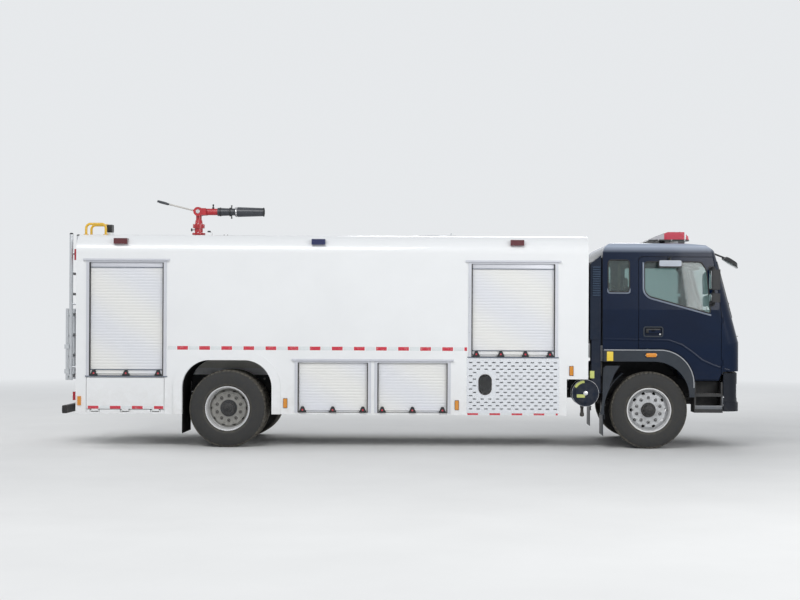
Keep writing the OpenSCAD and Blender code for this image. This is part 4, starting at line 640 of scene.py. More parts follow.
mirror_grey = moulded("mirror_grey", (0.37, 0.4, 0.45), rough=0.45, depth=0.15, dust_share=0.1)
# Rear mudguards: black rubber made darker still as painted shade, standing in for the shadow inside the wheel
# arches
mudguard_painted_shade = moulded("mudguard_painted_shade", (0.0035, 0.0037, 0.0045), rough=0.8, depth=0.2, dust_share=0.05,
                         shine=0.1)
seal_rubber = moulded("seal_rubber", (0.012, 0.012, 0.013), rough=0.6, grain=900.0, depth=0.15)
black_plastic = moulded("black_plastic", (0.009, 0.01, 0.012), rough=0.5, grain=520.0, depth=0.35,
                        dust_share=0.09)
grey_plastic = moulded("grey_plastic", (0.018, 0.024, 0.033), rough=0.42, grain=700.0, depth=0.12,
                       dust_share=0.06, shine=0.32)
step_grey = moulded("step_grey", (0.1, 0.11, 0.125), rough=0.4, grain=600.0, depth=0.12, dust_share=0.2)
tank_plastic = moulded("tank_plastic", (0.72, 0.72, 0.66), rough=0.45, grain=150.0, depth=0.1, fade=1.1)
frame_metal = metal("frame_metal", (0.62, 0.63, 0.67), rough=0.38, metallic=0.55, brushed=(160.0, 6.0, 3.0),
                    stain=0.2, dark=0.8)
ladder_metal = metal("ladder_metal", (0.6, 0.62, 0.64), rough=0.36, metallic=0.75,
                     brushed=(160.0, 160.0, 5.0), stain=0.35)
trim_metal = metal("trim_metal", (0.15, 0.175, 0.22), rough=0.38, metallic=0.6, brushed=(120.0, 6.0, 3.0),
                   stain=0.2, dark=0.8)
panel_metal = metal("panel_metal", (0.7, 0.72, 0.75), rough=0.45, metallic=0.5, brushed=(3.0, 3.0, 200.0),
                    stain=0.2, dark=0.85)
bright_steel = metal("bright_steel", (0.72, 0.72, 0.73), rough=0.25, metallic=0.9, brushed=(80.0, 80.0, 80.0),
                     stain=0.35, dark=0.5)
dull_steel = metal("dull_steel", (0.3, 0.29, 0.28), rough=0.5, metallic=0.7, brushed=(60.0, 60.0, 60.0),
                   stain=0.5, dark=0.45)
red_lens = lens("red_lens", (0.55, 0.008, 0.03), ribs=60.0, through=0.25)
amber_lens = lens("amber_lens", (0.95, 0.34, 0.02), ribs=70.0, through=0.2)
clear_lens = lens("clear_lens", (0.93, 0.95, 0.97), ribs=40.0, rib_axis="Y", through=0.75)
tape_red = tape_material("tape_red", (0.52, 0.012, 0.035))
tape_white = tape_material("tape_white", (0.66, 0.69, 0.7))
seat_weave = fabric_material("seat_weave", (0.05, 0.052, 0.06), (0.1, 0.105, 0.12), (0.15, 0.15, 0.16), 180.0)
tyre_rubber = tyre_material()
rim_front_paint = rim_material("front_rim", FRONT_AXLE_X, (0.55, 0.56, 0.57), (0.68, 0.68, 0.68), 0.268, 0.1,
                               (0.01, 0.011, 0.013))
rim_rear_paint = rim_material("rear_rim", REAR_AXLE_X, (0.3, 0.295, 0.275), (0.74, 0.74, 0.74), 0.262, 0.115,
                              (0.028, 0.032, 0.038))
FINISHES = {"white_paint": white_paint, "dark_paint": navy_paint, "chassis_paint": chassis_paint,
            "red_paint": cast_red, "window_glass": window_material(), "tyre_rubber": tyre_rubber,
            "rim_silver": rim_front_paint, "rim_grey": rim_rear_paint, "red_lens": red_lens,
            "tank_plastic": tank_plastic, "bare_aluminium": ladder_metal, "frame_aluminium": frame_metal,
            "black_plastic": black_plastic, "grey_plastic": grey_plastic, "yellow_paint": yellow_paint,
            "lamp_glass": clear_lens, "seat_fabric": seat_weave, }
OWN_FINISH = {
    "monitor_barrel": monitor_material(), "body_lamps": lamps_material(), "body_roof": roof_material(),
    "light_bar": bar_material(), "shutters": slat_material(), "perforated_panels": panel_metal,
    "air_cleaner": intake_plastic, "rear_mudguards": mudguard_painted_shade, "front_bumper": bumper_black,
}
for node_name, node in nodes.items():
    for place in node.material_slots:
        slot_name = place.material.name.split(".")[0] if place.material else "black_plastic"
        place.material = OWN_FINISH.get(node_name) or FINISHES[slot_name]


# Tyres
def smooth_line(points, per_span=5):
    """Catmull-Rom curve through the points, whole arrays at a time."""
    p = np.asarray(points, float)
    p = np.concatenate([2 * p[:1] - p[1:2], p, 2 * p[-1:] - p[-2:-1]])
    t = np.linspace(0, 1, per_span, endpoint=False)[None, :, None]
    a, b, c, d = p[:-3, None], p[1:-2, None], p[2:-1, None], p[3:, None]
    curve = 0.5 * (2 * b + (c - a) * t + (2 * a - 5 * b + 4 * c - d) * t ** 2 + (3 * b - a - 3 * c + d)
                   * t ** 3)
    return np.concatenate([curve.reshape(-1, p.shape[1]), p[-2:-1]])


GROOVES = np.array([-0.071, -0.026, 0.026, 0.071])
PITCHES = 54
TREAD_HALF = 0.1085
# Sidewall from the bead to the shoulder: way out from the tyre's middle, radius
SIDEWALL = np.array([[0.1035, 0.2834], [0.1036, 0.304], [0.118, 0.311], [0.13, 0.327], [0.1375, 0.36],
                     [0.1394, 0.402], [0.137, 0.437], [0.1325, 0.464], [0.127, 0.486], [0.1195, 0.505],
                     [0.113, 0.515]])
# Raised rings on the sidewall: radius, width, height
RIDGES = ((0.328, 0.004, 0.0016), (0.352, 0.0022, 0.0012), (0.452, 0.0022, 0.0012), (0.494, 0.0035, 0.0018))


def tyre_rings(middle_y, turn=0.0):
    """A truck tyre as a function of the angle round the axle and the way across its section. The tread's
    radius falls by a trapezoid at each long groove, and by another at each cross cut of the ribs, whose
    lines lean to and fro across the tread."""
    wall = smooth_line(SIDEWALL, 4)
    wall[:, 0] += sum(high * np.exp(-((wall[:, 1] - r) / wide) ** 2) for r, wide, high in RIDGES)
    edges = np.concatenate([GROOVES + shift for shift in (-0.0052, -0.004, 0.004, 0.0052)])
    across = np.concatenate([edges, np.linspace(-TREAD_HALF, TREAD_HALF, 19), [-0.102, 0.102]])
    across = np.unique(np.round(across, 5))
    crown = TYRE_R - 0.0075 * (across / TREAD_HALF) ** 4
    section_y = np.concatenate([-wall[:, 0], across, wall[::-1, 0]])
    section_r = np.concatenate([wall[:, 1], crown, wall[::-1, 1]])
    nearest = np.abs(section_y[:, None] - GROOVES[None]).min(axis=1)
    on_tread = (section_r > 0.512).astype(float)
    long_cut = 0.012 * np.clip((0.0052 - nearest) / 0.0012, 0, 1) * on_tread
    phases = np.array([0.0, 0.18, 0.36, 0.405, 0.45, 0.55, 0.595, 0.64, 0.82])
    angle = ((np.arange(PITCHES)[:, None] + phases[None]) * 2 * math.pi / PITCHES).ravel()
    in_cut = np.tile(np.clip((0.115 - np.abs(phases - 0.5)) / 0.05, 0, 1), PITCHES)
    shoulder = np.clip((np.abs(section_y) - 0.076) / 0.004, 0, 1) * np.clip((section_r - 0.494) / 0.012, 0, 1)
    cross_depth = 0.0035 * on_tread * (1 - shoulder) + 0.0105 * shoulder
    lean = 0.35 * np.interp(section_y, [-0.115, -0.071, -0.026, 0.026, 0.071, 0.115],
                            [0.6, -0.4, 0.5, -0.5, 0.4, -0.6])
    radius = section_r - long_cut - np.maximum(0, in_cut[:, None] * cross_depth[None] - long_cut[None])
    theta = angle[:, None] + turn + (lean * 2 * math.pi / PITCHES)[None]
    y = np.broadcast_to(section_y, radius.shape) + middle_y
    return np.stack([radius * np.cos(theta), y, radius * np.sin(theta)], -1)


def tyre(name, body, replaced, axle_x, middles):
    """One or two tyres on one axle end, in place of the plain ones of the solid model."""
    verts, faces, first = [], [], 0
    for k, middle in enumerate(middles):
        grid = tyre_rings(middle, 0.03 * k) + np.array([axle_x, 0.0, TYRE_R])
        columns, rows, _ = grid.shape
        i = np.arange(columns)[:, None]
        j = np.arange(rows)[None]
        i2, j2 = (i + 1) % columns, (j + 1) % rows
        quads = np.stack([i * rows + j, i * rows + j2, i2 * rows + j2, i2 * rows + j], -1).reshape(-1, 4)
        verts.append(grid.reshape(-1, 3))
        faces += (quads + first).tolist()
        first += columns * rows
    made = piece(name, tyre_rubber, body, np.concatenate(verts), faces, sharp=32.0)
    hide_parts(replaced)


for hand, side in SIDES.items():
    tyre("tread_front_" + hand, "wheel_front_" + hand, "tyre_front_" + hand, FRONT_AXLE_X, [side * 1.015])
    tyre("tread_rear_" + hand, "wheel_rear_" + hand, "tyres_rear_" + hand, REAR_AXLE_X,
         [side * 1.074, side * 0.756])

# Wheel details: nuts, hub, rim edge and valve
for end, axle_x, face_y, edge_y in (("front", FRONT_AXLE_X, 1.073, FRONT_EDGE_Y),
                                    ("rear", REAR_AXLE_X, 1.066, REAR_EDGE_Y)):
    body = "wheel_%s_" % end
    nuts = circle_of((axle_x, face_y, TYRE_R), 0.168, 10, math.radians(18), (0, 2))
    both(turned, "nut_washers_" + end, nut_black, body, nuts, LEFT,
         [(0.0225, 0.0), (0.0225, 0.003), (0.0205, 0.0045), (0.0165, 0.0045)], 24)
    both(turned, "stud_ends_" + end, nut_black, body, nuts + [0, 0.0295, 0], LEFT,
         [(0.0105, 0.0), (0.0105, 0.008), (0.0085, 0.0105), (0.004, 0.0112)], 16)
    hub_places = circle_of((axle_x, face_y + 0.066, TYRE_R), 0.079, 8, 0.0, (0, 2))
    both(bolts, "hub_bolts_" + end, nut_black, body, hub_places, LEFT, 0.014, 0.009)
    both(turned, "hub_cap_" + end, black_plastic, body, [(axle_x, face_y + 0.0915, TYRE_R)], LEFT,
         [(0.06, 0.0), (0.06, 0.006), (0.056, 0.01), (0.04, 0.0125), (0.022, 0.013), (0.02, 0.018),
          (0.012, 0.021)], 48)
    both(hoop, "rim_edge_" + end, bright_steel if end == "rear" else rim_front_paint, body,
         (axle_x, edge_y, TYRE_R), LEFT, [(0.2905, -0.002), (0.303, -0.002), (0.3045, 0.001), (0.303, 0.0035),
                                          (0.296, 0.0045), (0.291, 0.003)])
    stem = np.array([(axle_x + 0.25, face_y - 0.03, TYRE_R), (axle_x + 0.262, face_y + 0.005, TYRE_R),
                     (axle_x + 0.247, face_y + 0.045, TYRE_R)])
    both(tube, "valve_stem_" + end, bright_steel, body, stem, UP, 0.0042, 0.012, 10)
    both(turned, "valve_cap_" + end, black_plastic, body, stem[-1:], unit(stem[-1] - stem[-2]),
         [(0.006, -0.002), (0.006, 0.01), (0.0045, 0.014), (0.002, 0.0145)], 14)


# Body sides: reflecting tape, seals, rivets and latches
TAPE_REPEAT = 0.3


def tape_row(name, body, start, end, first_red, z, height):
    """Red and white blocks along both sides, the pair of them once in every repeat of the tape."""
    for colour, mat, shift, length in (("red", tape_red, 0.0, 0.146), ("white", tape_white, 0.156, 0.134)):
        lows = first_red + shift + TAPE_REPEAT * np.arange(-2, 40)
        highs = np.minimum(lows + length, end)
        lows = np.maximum(lows, start)
        real = highs - lows > 0.02
        lows, highs = lows[real], highs[real]
        for hand, side in SIDES.items():
            pads("%s_%s_%s" % (name, hand, colour), mat, body + hand if body.endswith("_") else body,
                 [((a + b) / 2, side * BODY_Y, z) for a, b in zip(lows, highs)], (0, side, 0), highs - lows,
                 height, 0.0009, 0.003, 0.0004)


tape_row("tape_mid", "chassis", -3.215, 0.85, -3.086, 1.352, 0.05)
tape_row("tape_flap", "flap_", -4.312, -3.272, -4.297, 0.54, 0.04)
tape_row("tape_front", "chassis", 0.85, 2.085, 0.858, 0.477, 0.038)
# Lips that close the gap under the hinged flap, between its hinges
lips = np.array([(-4.318, -4.27), (-4.134, -3.858), (-3.722, -3.446), (-3.31, -3.262)])
both(pads, "flap_lips", white_paint, "chassis", [(x, 1.2405, 0.4933) for x in lips.mean(axis=1)], LEFT,
     lips[:, 1] - lips[:, 0], 0.0345, 0.004, 0.002, 0.0008)
x0, x1, z0, z1 = SHUTTERS.T
for end, xs in (("rear", x0 + 0.048), ("front", x1 - 0.048)):
    for hand, side in SIDES.items():
        pads("guide_seal_%s_%s" % (end, hand), seal_rubber, "chassis",
             np.stack([xs, np.full(4, side * 1.2215), (z0 + z1) / 2 - 0.012], -1), (0, side, 0), 0.014,
             z1 - z0 - 0.03, 0.0355, 0.003, 0.0012)
LATCH = np.array([[-0.049, -0.002], [0.049, -0.002], [0.049, 0.006], [0.018, 0.073], [0.013, 0.077],
                  [-0.013, 0.077], [-0.018, 0.073], [-0.049, 0.006]])
for k, (rear, front, low, high) in enumerate(SHUTTERS):
    rows = np.arange(low + 0.09, high - 0.05, 0.24)
    left, right = rear + 0.029, front - 0.029
    spans = math.ceil((right - left - 0.24) / 0.4)
    places = at_y([(left + 0.08 + (right - left - 0.16) * n / spans, low + 0.008) for n in range(spans + 1)],
                  1.2385)
    for hand, side in SIDES.items():
        tag = "%s_%d" % (hand, k)
        out = (0, side, 0)
        at = on_side(places, side)
        pads("curtain_seal_" + tag, seal_rubber, "chassis", [((rear + front) / 2, side * 1.222, low + 0.006)],
             out, front - rear - 0.094, 0.01, 0.016, 0.003, 0.001)
        for end, x in (("rear", rear + 0.014), ("front", front - 0.014)):
            rivets("guide_rivets_%s_%s" % (end, tag), bright_steel, "chassis",
                   [(x, side * 1.255, z) for z in rows], out, 0.0052, 0.0022)
        slab("latch_" + tag, black_plastic, "chassis", LATCH, at, out, 0.0365, 0.0022)
        turned("latch_button_" + tag, tape_red, "chassis", at + [0, side * 0.036, 0.03], out,
               [(0.0125, 0.0), (0.0125, 0.003), (0.0105, 0.0052), (0.005, 0.006)], 20)
        pads("latch_pad_" + tag, grey_plastic, "chassis", at + [0, side * 0.036, 0.058], out,
             0.02, 0.014, 0.003, 0.003, 0.001)
both(rivets, "panel_rivets", bright_steel, "chassis",
     at_y([(x, z) for z in (0.493, 1.219) for x in np.linspace(0.858, 2.093, 9)]
          + [(x, z) for x in (0.858, 2.093) for z in np.linspace(0.6, 1.1, 5)], 1.249), LEFT, 0.0062, 0.0028)
turn = np.linspace(0, 2 * math.pi, 40, endpoint=False)
port_x = 1.097 + np.cos(turn) * 0.086
port_z = 0.872 + np.sin(turn) * 0.086 + np.sign(np.sin(turn)) * 0.0505
PORT_SECTION = np.array([[-0.006, 0.0], [0.006, 0.0], [0.006, 0.004], [0.003, 0.007], [-0.003, 0.007],
                         [-0.006, 0.004]])
for hand, side in SIDES.items():
    out = np.array([0.0, side, 0.0])
    port = at_y(np.stack([port_x, port_z], -1), side * 1.249)
    aside = np.cross(unit(np.roll(port, -1, axis=0) - np.roll(port, 1, axis=0)), out)
    rings = port[:, None] + PORT_SECTION[None, :, :1] * aside[:, None] + PORT_SECTION[None, :, 1:] * out
    skin_rings("port_rim_" + hand, rings[:, ::-1], seal_rubber, "chassis", ring_loop=True)


# Places on the cab's walls
BELT_Z = 1.9
LEAN = 0.062
BOW_R = 5.87
SCREEN_TOP = np.array([4.35, 2.62])
RAKE = math.radians(15.1)
SCREEN_OUT = (math.cos(RAKE), 0, math.sin(RAKE))


def cab_wall(path, proud=0.0):
    """Points on the cab's left side wall, from X and Z. Above the belt line it leans in evenly."""
    x, z = np.asarray(path, float).T
    y = CAB_Y - LEAN * np.clip((z - BELT_Z) / (CAB_TOP - BELT_Z), 0.0, 1.0)
    return np.stack([x, y + proud, z], -1)


def front_wall(y, z, proud=0.0):
    """Points on the cab's upright front, a circular bow in plan."""
    y, z = np.broadcast_arrays(np.asarray(y, float), np.asarray(z, float))
    return np.stack([4.66 - BOW_R + np.sqrt((BOW_R + proud) ** 2 - y ** 2), y, z], -1)


def screen_wall(y, z, proud=0.0):
    """Points on the raked, bowed windscreen plane: the bow in plan slides along the rake."""
    y, z, proud = np.broadcast_arrays(*(np.asarray(value, float) for value in (y, z, proud)))
    bow = -BOW_R + np.sqrt((BOW_R + proud) ** 2 - y ** 2)
    slide = (z - SCREEN_TOP[1] - bow * math.sin(RAKE)) / math.cos(RAKE)
    return np.stack([SCREEN_TOP[0] + bow * math.cos(RAKE) - slide * math.sin(RAKE), y, z], -1)


def ring_path(corners, bend, steps=6):
    """A closed outline with rounded corners: starts and ends in the middle of its first edge."""
    corners = np.asarray(corners, float)
    middle = (corners[0] + corners[1]) / 2
    return rounded_path(np.concatenate([[middle], corners[1:], corners[:1], [middle]]), bend, steps)


def fine_path(points, step=0.05):
    """The same line with extra points, none further apart than the step."""
    points = np.asarray(points, float)
    gap = np.linalg.norm(np.diff(points, axis=0), axis=1)
    reach = np.concatenate([[0.0], np.cumsum(gap)])
    wanted = np.unique(np.concatenate([reach, np.linspace(0, reach[-1], int(reach[-1] / step) + 2)]))
    return np.stack([np.interp(wanted, reach, column) for column in points.T], -1)


# Cab sides: raised crease, flare edge, gaskets, handles and lamps
CREASE = np.array([(2.702, 1.501), (3.587, 1.487), (3.767, 1.425), (3.905, 1.329), (4.044, 1.217),
                   (4.183, 1.155), (4.322, 1.106), (4.418, 1.079)])
DOOR_PANE = np.array([(3.265, 2.152), (3.329, 2.082), (4.159, 1.852), (4.109, 2.43), (4.039, 2.552),
                      (3.265, 2.552)])
REAR_PANE = np.array([(2.769, 2.142), (3.057, 2.142), (3.057, 2.572), (2.769, 2.572)])
flare_arc = np.linspace(math.pi / 2, 0.0, 24)
flare_curve = np.stack([3.475 + 0.46 * np.cos(flare_arc), 0.89 + 0.46 * np.sin(flare_arc)], -1)
FLARE_EDGE = np.concatenate([[(2.712, 1.35)], flare_curve, [(3.935, 0.84)]])
edge_trim = metal("edge_trim", (0.36, 0.37, 0.39), metallic=0.7, brushed=(60.0, 60.0, 60.0), stain=0.2,
                  dark=0.7)
reflector_yellow = lens("reflector_yellow", (0.86, 0.62, 0.05), ribs=200.0, through=0.0)
mirror_face = metal("mirror_face", (0.8, 0.82, 0.84), rough=0.04, metallic=1.0, grain=0.01, stain=0.08,
                    dark=0.8)


def crease(name, body, start, end):
    """The part of the crease moulding between two places along X: a rounded ridge."""
    line = fine_path(CREASE, 0.03)
    line = line[(line[:, 0] > start) & (line[:, 0] < end)]
    ends = np.array([[x, np.interp(x, *CREASE.T)] for x in (start, end)])
    angle = np.linspace(0, math.pi, 8)
    section = np.stack([0.02 * np.cos(angle), 0.01 * np.sin(angle) - 0.001], -1)
    both(swept, name, navy_paint, body, cab_wall(np.concatenate([ends[:1], line, ends[1:]])), LEFT, section)


def gasket(name, body, pane, grow):
    """Rubber round a side window, lying on the leaning wall."""
    middle = pane.mean(axis=0)
    path = fine_path(ring_path(middle + (pane - middle) * (1 + grow), 0.05), 0.06)
    both(tube, name, seal_rubber, body, cab_wall(path, 0.001), LEFT, 0.0075, 0.0, 10)


crease("crease_behind", "cab", 2.702, 3.176)
crease("crease_door", "door_", 3.189, 4.292)
crease("crease_ahead", "cab", 4.345, 4.418)
both(strip, "flare_edge", edge_trim, "cab", at_y(fine_path(FLARE_EDGE), 1.238), LEFT, 0.012, 0.003)
both(pads, "side_reflector", reflector_yellow, "cab", [(2.793, 1.238, 1.2645)], LEFT,
     0.086, 0.127, 0.007, 0.004, 0.002)
both(pads, "side_lamp_base", seal_rubber, "cab", [(3.352, 1.238, 1.282)], LEFT,
     0.16, 0.066, 0.008, 0.016, 0.003)
both(pads, "side_lamp", amber_lens, "cab", [(3.352, 1.246, 1.282)], LEFT,
     0.146, 0.054, 0.014, 0.02, 0.006, 0.004)
both(bolts, "side_lamp_screws", bright_steel, "cab", at_y([(3.276, 1.282), (3.428, 1.282)], 1.2455), LEFT,
     0.006, 0.003)
gasket("door_window_gasket", "door_", DOOR_PANE, 0.004)
gasket("rear_window_gasket", "cab", REAR_PANE, 0.01)
line = rounded_path([(2.764, 2.185), (2.764, 2.124), (3.062, 2.124), (3.062, 2.185)], 0.045, 8)
both(strip, "rear_window_sill", trim_metal, "cab", cab_wall(line, 0.001), LEFT, 0.02, 0.006)
line = fine_path(rounded_path([(3.246, 2.545), (3.246, 2.142), (3.312, 2.062), (4.166, 1.826)], 0.05, 8),
                 0.06)
both(strip, "door_window_trim", trim_metal, "door_", cab_wall(line, 0.001), LEFT, 0.022, 0.005)
# Rubber round the doorway, behind the gap
line = fine_path(rounded_path([(3.182, 1.44), (3.182, 2.6215), (4.196, 2.6215), (4.305, 1.85), (4.306, 1.18)],
                              0.05, 8), 0.06)
both(strip, "doorway_seal", seal_rubber, "cab", cab_wall(line, -0.053), LEFT, 0.044, 0.008)
# The pull handle in its recess, with a frame and a key barrel
line = ring_path([(3.254, 1.536), (3.509, 1.536), (3.509, 1.664), (3.254, 1.664)], 0.03)
both(strip, "handle_frame", grey_plastic, "door_", at_y(line, 1.2195), LEFT, 0.02, 0.005)
both(pads, "handle_paddle", black_plastic, "door_", [(3.382, 1.192, 1.612)], LEFT,
     0.2, 0.062, 0.02, 0.014, 0.006, 0.004)
both(turned, "door_lock", bright_steel, "door_", [(3.476, 1.19, 1.566)], LEFT,
     [(0.013, 0.0), (0.013, 0.012), (0.011, 0.014), (0.005, 0.014), (0.004, 0.01)], 24)
# Mirror faces, clamps on the stem and feet on the door
both(pads, "mirror_faces", mirror_face, "door_", [(4.114, 1.458, 2.305), (4.114, 1.458, 2.06)], BACK, 0.17,
     np.array([0.24, 0.094]), 0.0022, 0.016, 0.0008)
both(turned, "mirror_clamps", black_plastic, "door_", [(4.172, 1.37, z) for z in (1.985, 2.135, 2.455)], UP,
     [(0.013, -0.016), (0.022, -0.014), (0.023, 0.0), (0.022, 0.014), (0.013, 0.016)], 24)
both(pads, "mirror_feet", black_plastic, "door_", cab_wall([(4.172, 1.975), (4.172, 2.47)]), LEFT,
     0.07, 0.052, 0.01, 0.016, 0.003)

# Windscreen, wipers, front panel and lamps
line = fine_path(ring_path([(-1.05, 1.8), (1.05, 1.8), (1.05, 2.56), (-1.05, 2.56)], 0.09), 0.08)
tube("screen_gasket", seal_rubber, "cab", screen_wall(*line.T, 0.002), SCREEN_OUT, 0.01, 0.0, 10)
for name, pivot_y in (("left", 0.62), ("right", -0.1)):
    arm = screen_wall([pivot_y, pivot_y - 0.02, pivot_y - 0.32], [1.76, 1.8, 2.02], [0.03, 0.034, 0.03])
    tube("wiper_arm_" + name, black_plastic, "cab", arm, UP, 0.008)
    ys = np.linspace(pivot_y - 0.6, pivot_y, 12)
    blade = screen_wall(ys, 2.02 + 0.1 * (ys - ys.mean()), 0.014)
    strip("wiper_blade_" + name, seal_rubber, "cab", blade, SCREEN_OUT, 0.016, 0.018)
    turned("wiper_pivot_" + name, black_plastic, "cab", [screen_wall(pivot_y, 1.76)], SCREEN_OUT,
           [(0.03, -0.004), (0.028, 0.016), (0.018, 0.02), (0.018, 0.04), (0.008, 0.044)], 24)
ys = np.linspace(-0.815, 0.815, 24)
for k in range(5):
    strip("grille_bar_%d" % k, bright_steel, "cab", front_wall(ys, 1.19 + 0.054 * (k + 0.31)), AHEAD,
          0.01, 0.004)
ys = np.linspace(-0.96, 0.96, 30)
strip("front_seam", seal_rubber, "cab", front_wall(ys, 1.54), AHEAD, 0.008, 0.002)
strip("bumper_edge_strip", grey_plastic, "chassis", front_wall(ys, 0.645, -0.016), AHEAD, 0.03, 0.006)
pads("front_plate_blank", white_paint, "chassis", [(4.652, 0.0, 0.58)], AHEAD, 0.52, 0.11, 0.01, 0.01, 0.002)
bolts("front_plate_screws", bright_steel, "chassis", [(4.662, -0.2, 0.58), (4.662, 0.2, 0.58)], AHEAD,
      0.01, 0.004)
bowl = np.linspace(0.0, 1.0, 9)
dish = np.stack([0.012 + 0.07 * bowl, 0.075 * bowl ** 2], -1)
cups = [(4.435, 0.985, 0.795), (4.475, 0.8, 0.795)]
both(turned, "headlamp_dish", mirror_face, "chassis", cups, AHEAD,
     np.concatenate([dish, dish[::-1] + [0.004, -0.006]]), 40)
both(turned, "headlamp_bulb", clear_lens, "chassis", cups, AHEAD,
     [(0.016, 0.002), (0.016, 0.03), (0.012, 0.04), (0.004, 0.044)], 20)
line = fine_path(ring_path([(0.7, 0.712), (1.096, 0.712), (1.096, 0.878), (0.7, 0.878)], 0.02))
both(strip, "headlamp_trim", frame_metal, "chassis", front_wall(*line.T, -0.024), AHEAD, 0.01, 0.005)
both(pads, "step_tread", black_plastic, "chassis", [(4.14, 1.14, 0.536), (4.14, 1.14, 0.756)], UP,
     0.105, 0.34, 0.004, 0.01, 0.001)
spots = [(x, y, z) for z in (0.5395, 0.7595) for x in np.linspace(3.99, 4.29, 11)
         for y in (1.108, 1.14, 1.172)]
both(rivets, "step_grip", dull_steel, "chassis", spots, UP, 0.007, 0.004)
both(strip, "step_lip", step_grey, "chassis", at_y([(3.955, 0.574), (4.14, 0.574), (4.325, 0.574)], 1.2),
     LEFT, 0.05, 0.006)

# Light bar on the cab roof: end caps, screws, lens joints and the dotted tail
both(pads, "bar_end_cap", black_plastic, "cab", [(3.66, 0.96, 2.86)], LEFT, 0.44, 0.02, 0.005, 0.008, 0.002)
both(bolts, "bar_end_screws", bright_steel, "cab", at_y([(x, 2.86) for x in (3.48, 3.66, 3.84)], 0.965), LEFT,
     0.008, 0.003)
slope = math.atan2(0.074, 0.19)
tail = [(3.34 + x, y, 2.898 + (x - 0.08) * 0.3895) for x in (0.12, 0.17, 0.22)
        for y in np.linspace(-0.9, 0.9, 19)]
rivets("bar_tail_dots", black_plastic, "cab", tail, (-math.sin(slope), 0, math.cos(slope)), 0.011, 0.004)
for x in (3.7, 3.775):
    strip("bar_seam_%d" % round(x * 1000), black_plastic, "cab",
          [(x, y, 2.9722) for y in np.linspace(-0.955, 0.955, 8)], UP, 0.01, 0.003)

# Kerb mirror on the right door and the bowl mirror over the bumper
pads("kerb_mirror_face", mirror_face, "door_right", [(3.59, -1.315, 2.47)], DOWN,
     0.06, 0.28, 0.0022, 0.02, 0.0008)
pads("kerb_mirror_cover", mirror_grey, "door_right", [(3.59, -1.3545, 2.526)], RIGHT,
     0.3, 0.08, 0.003, 0.02, 0.001)
line = ring_path([(3.44, -1.351), (3.74, -1.351), (3.74, -1.279), (3.44, -1.279)], 0.02)
tube("kerb_mirror_rim", seal_rubber, "door_right", np.insert(line, 2, 2.474, axis=1), UP, 0.006, 0.0, 8)
tilt = math.radians(32)
down = (-math.sin(tilt), 0.0, -math.cos(tilt))
bowl_at = (4.484, -0.86, 2.551)
hoop("bowl_mirror_rim", seal_rubber, "cab", bowl_at, down,
     [(0.124, -0.006), (0.129, -0.002), (0.129, 0.005), (0.123, 0.007)], 72)
turned("bowl_mirror_face", mirror_face, "cab", [bowl_at], down,
       [(0.122, 0.0), (0.118, 0.004), (0.09, 0.012), (0.05, 0.018), (0.01, 0.02)], 60)


# Seats: sprung base, padded cushion, back and headrest, belts
CLOTH_FRAMES = 20
SEAT_Y = 0.79


def pillow_block(low, high, lean, corner, rows=26):
    """A block with rounded edges, its points spread over a box and pulled towards a superellipsoid; the
    shift along X grows evenly with height by the lean."""
    axis = np.linspace(-1.0, 1.0, rows)
    u, v = np.meshgrid(axis, axis, indexing="ij")
    one = np.ones_like(u)
    points = np.stack([np.stack(p, -1) for p in ((u, v, one), (v, u, -one), (one, u, v), (-one, v, u),
                                                 (v, one, u), (u, -one, v))])
    low, high = np.asarray(low, float), np.asarray(high, float)
    half = (high - low) / 2
    core = np.clip(points, corner / half - 1.0, 1.0 - corner / half)
    away = points - core
    points = core + unit(away) * (corner / half) * (np.abs(away).max(-1, keepdims=True) > 1e-9)
    places = (low + high) / 2 + points * half
    places[..., 0] += lean * (places[..., 2] - low[2])
    index = np.arange(6 * rows * rows).reshape(6, rows, rows)
    quads = np.stack([index[:, :-1, :-1], index[:, 1:, :-1], index[:, 1:, 1:], index[:, :-1, 1:]], -1)
    return places.reshape(-1, 3), quads.reshape(-1, 4)


def welded(name, verts, faces):
    """A mesh whose doubled seam points are merged and whose faces all point outwards."""
    mesh = bpy.data.meshes.new(name)
    mesh.from_pydata(verts.tolist(), [], faces.tolist())
    work = bmesh.new()
    work.from_mesh(mesh)
    bmesh.ops.remove_doubles(work, verts=work.verts, dist=0.0004)
    bmesh.ops.recalc_face_normals(work, faces=work.faces)
    work.to_mesh(mesh)
    work.free()
    return mesh


def mesh_points(mesh, key="co"):
    """The places or the normals of a mesh's vertices."""
    flat = np.empty(len(mesh.vertices) * 3)
    mesh.vertices.foreach_get(key, flat)
    return flat.reshape(-1, 3)


def put_points(mesh, points):
    mesh.vertices.foreach_set("co", np.asarray(points, float).ravel())
    mesh.update()


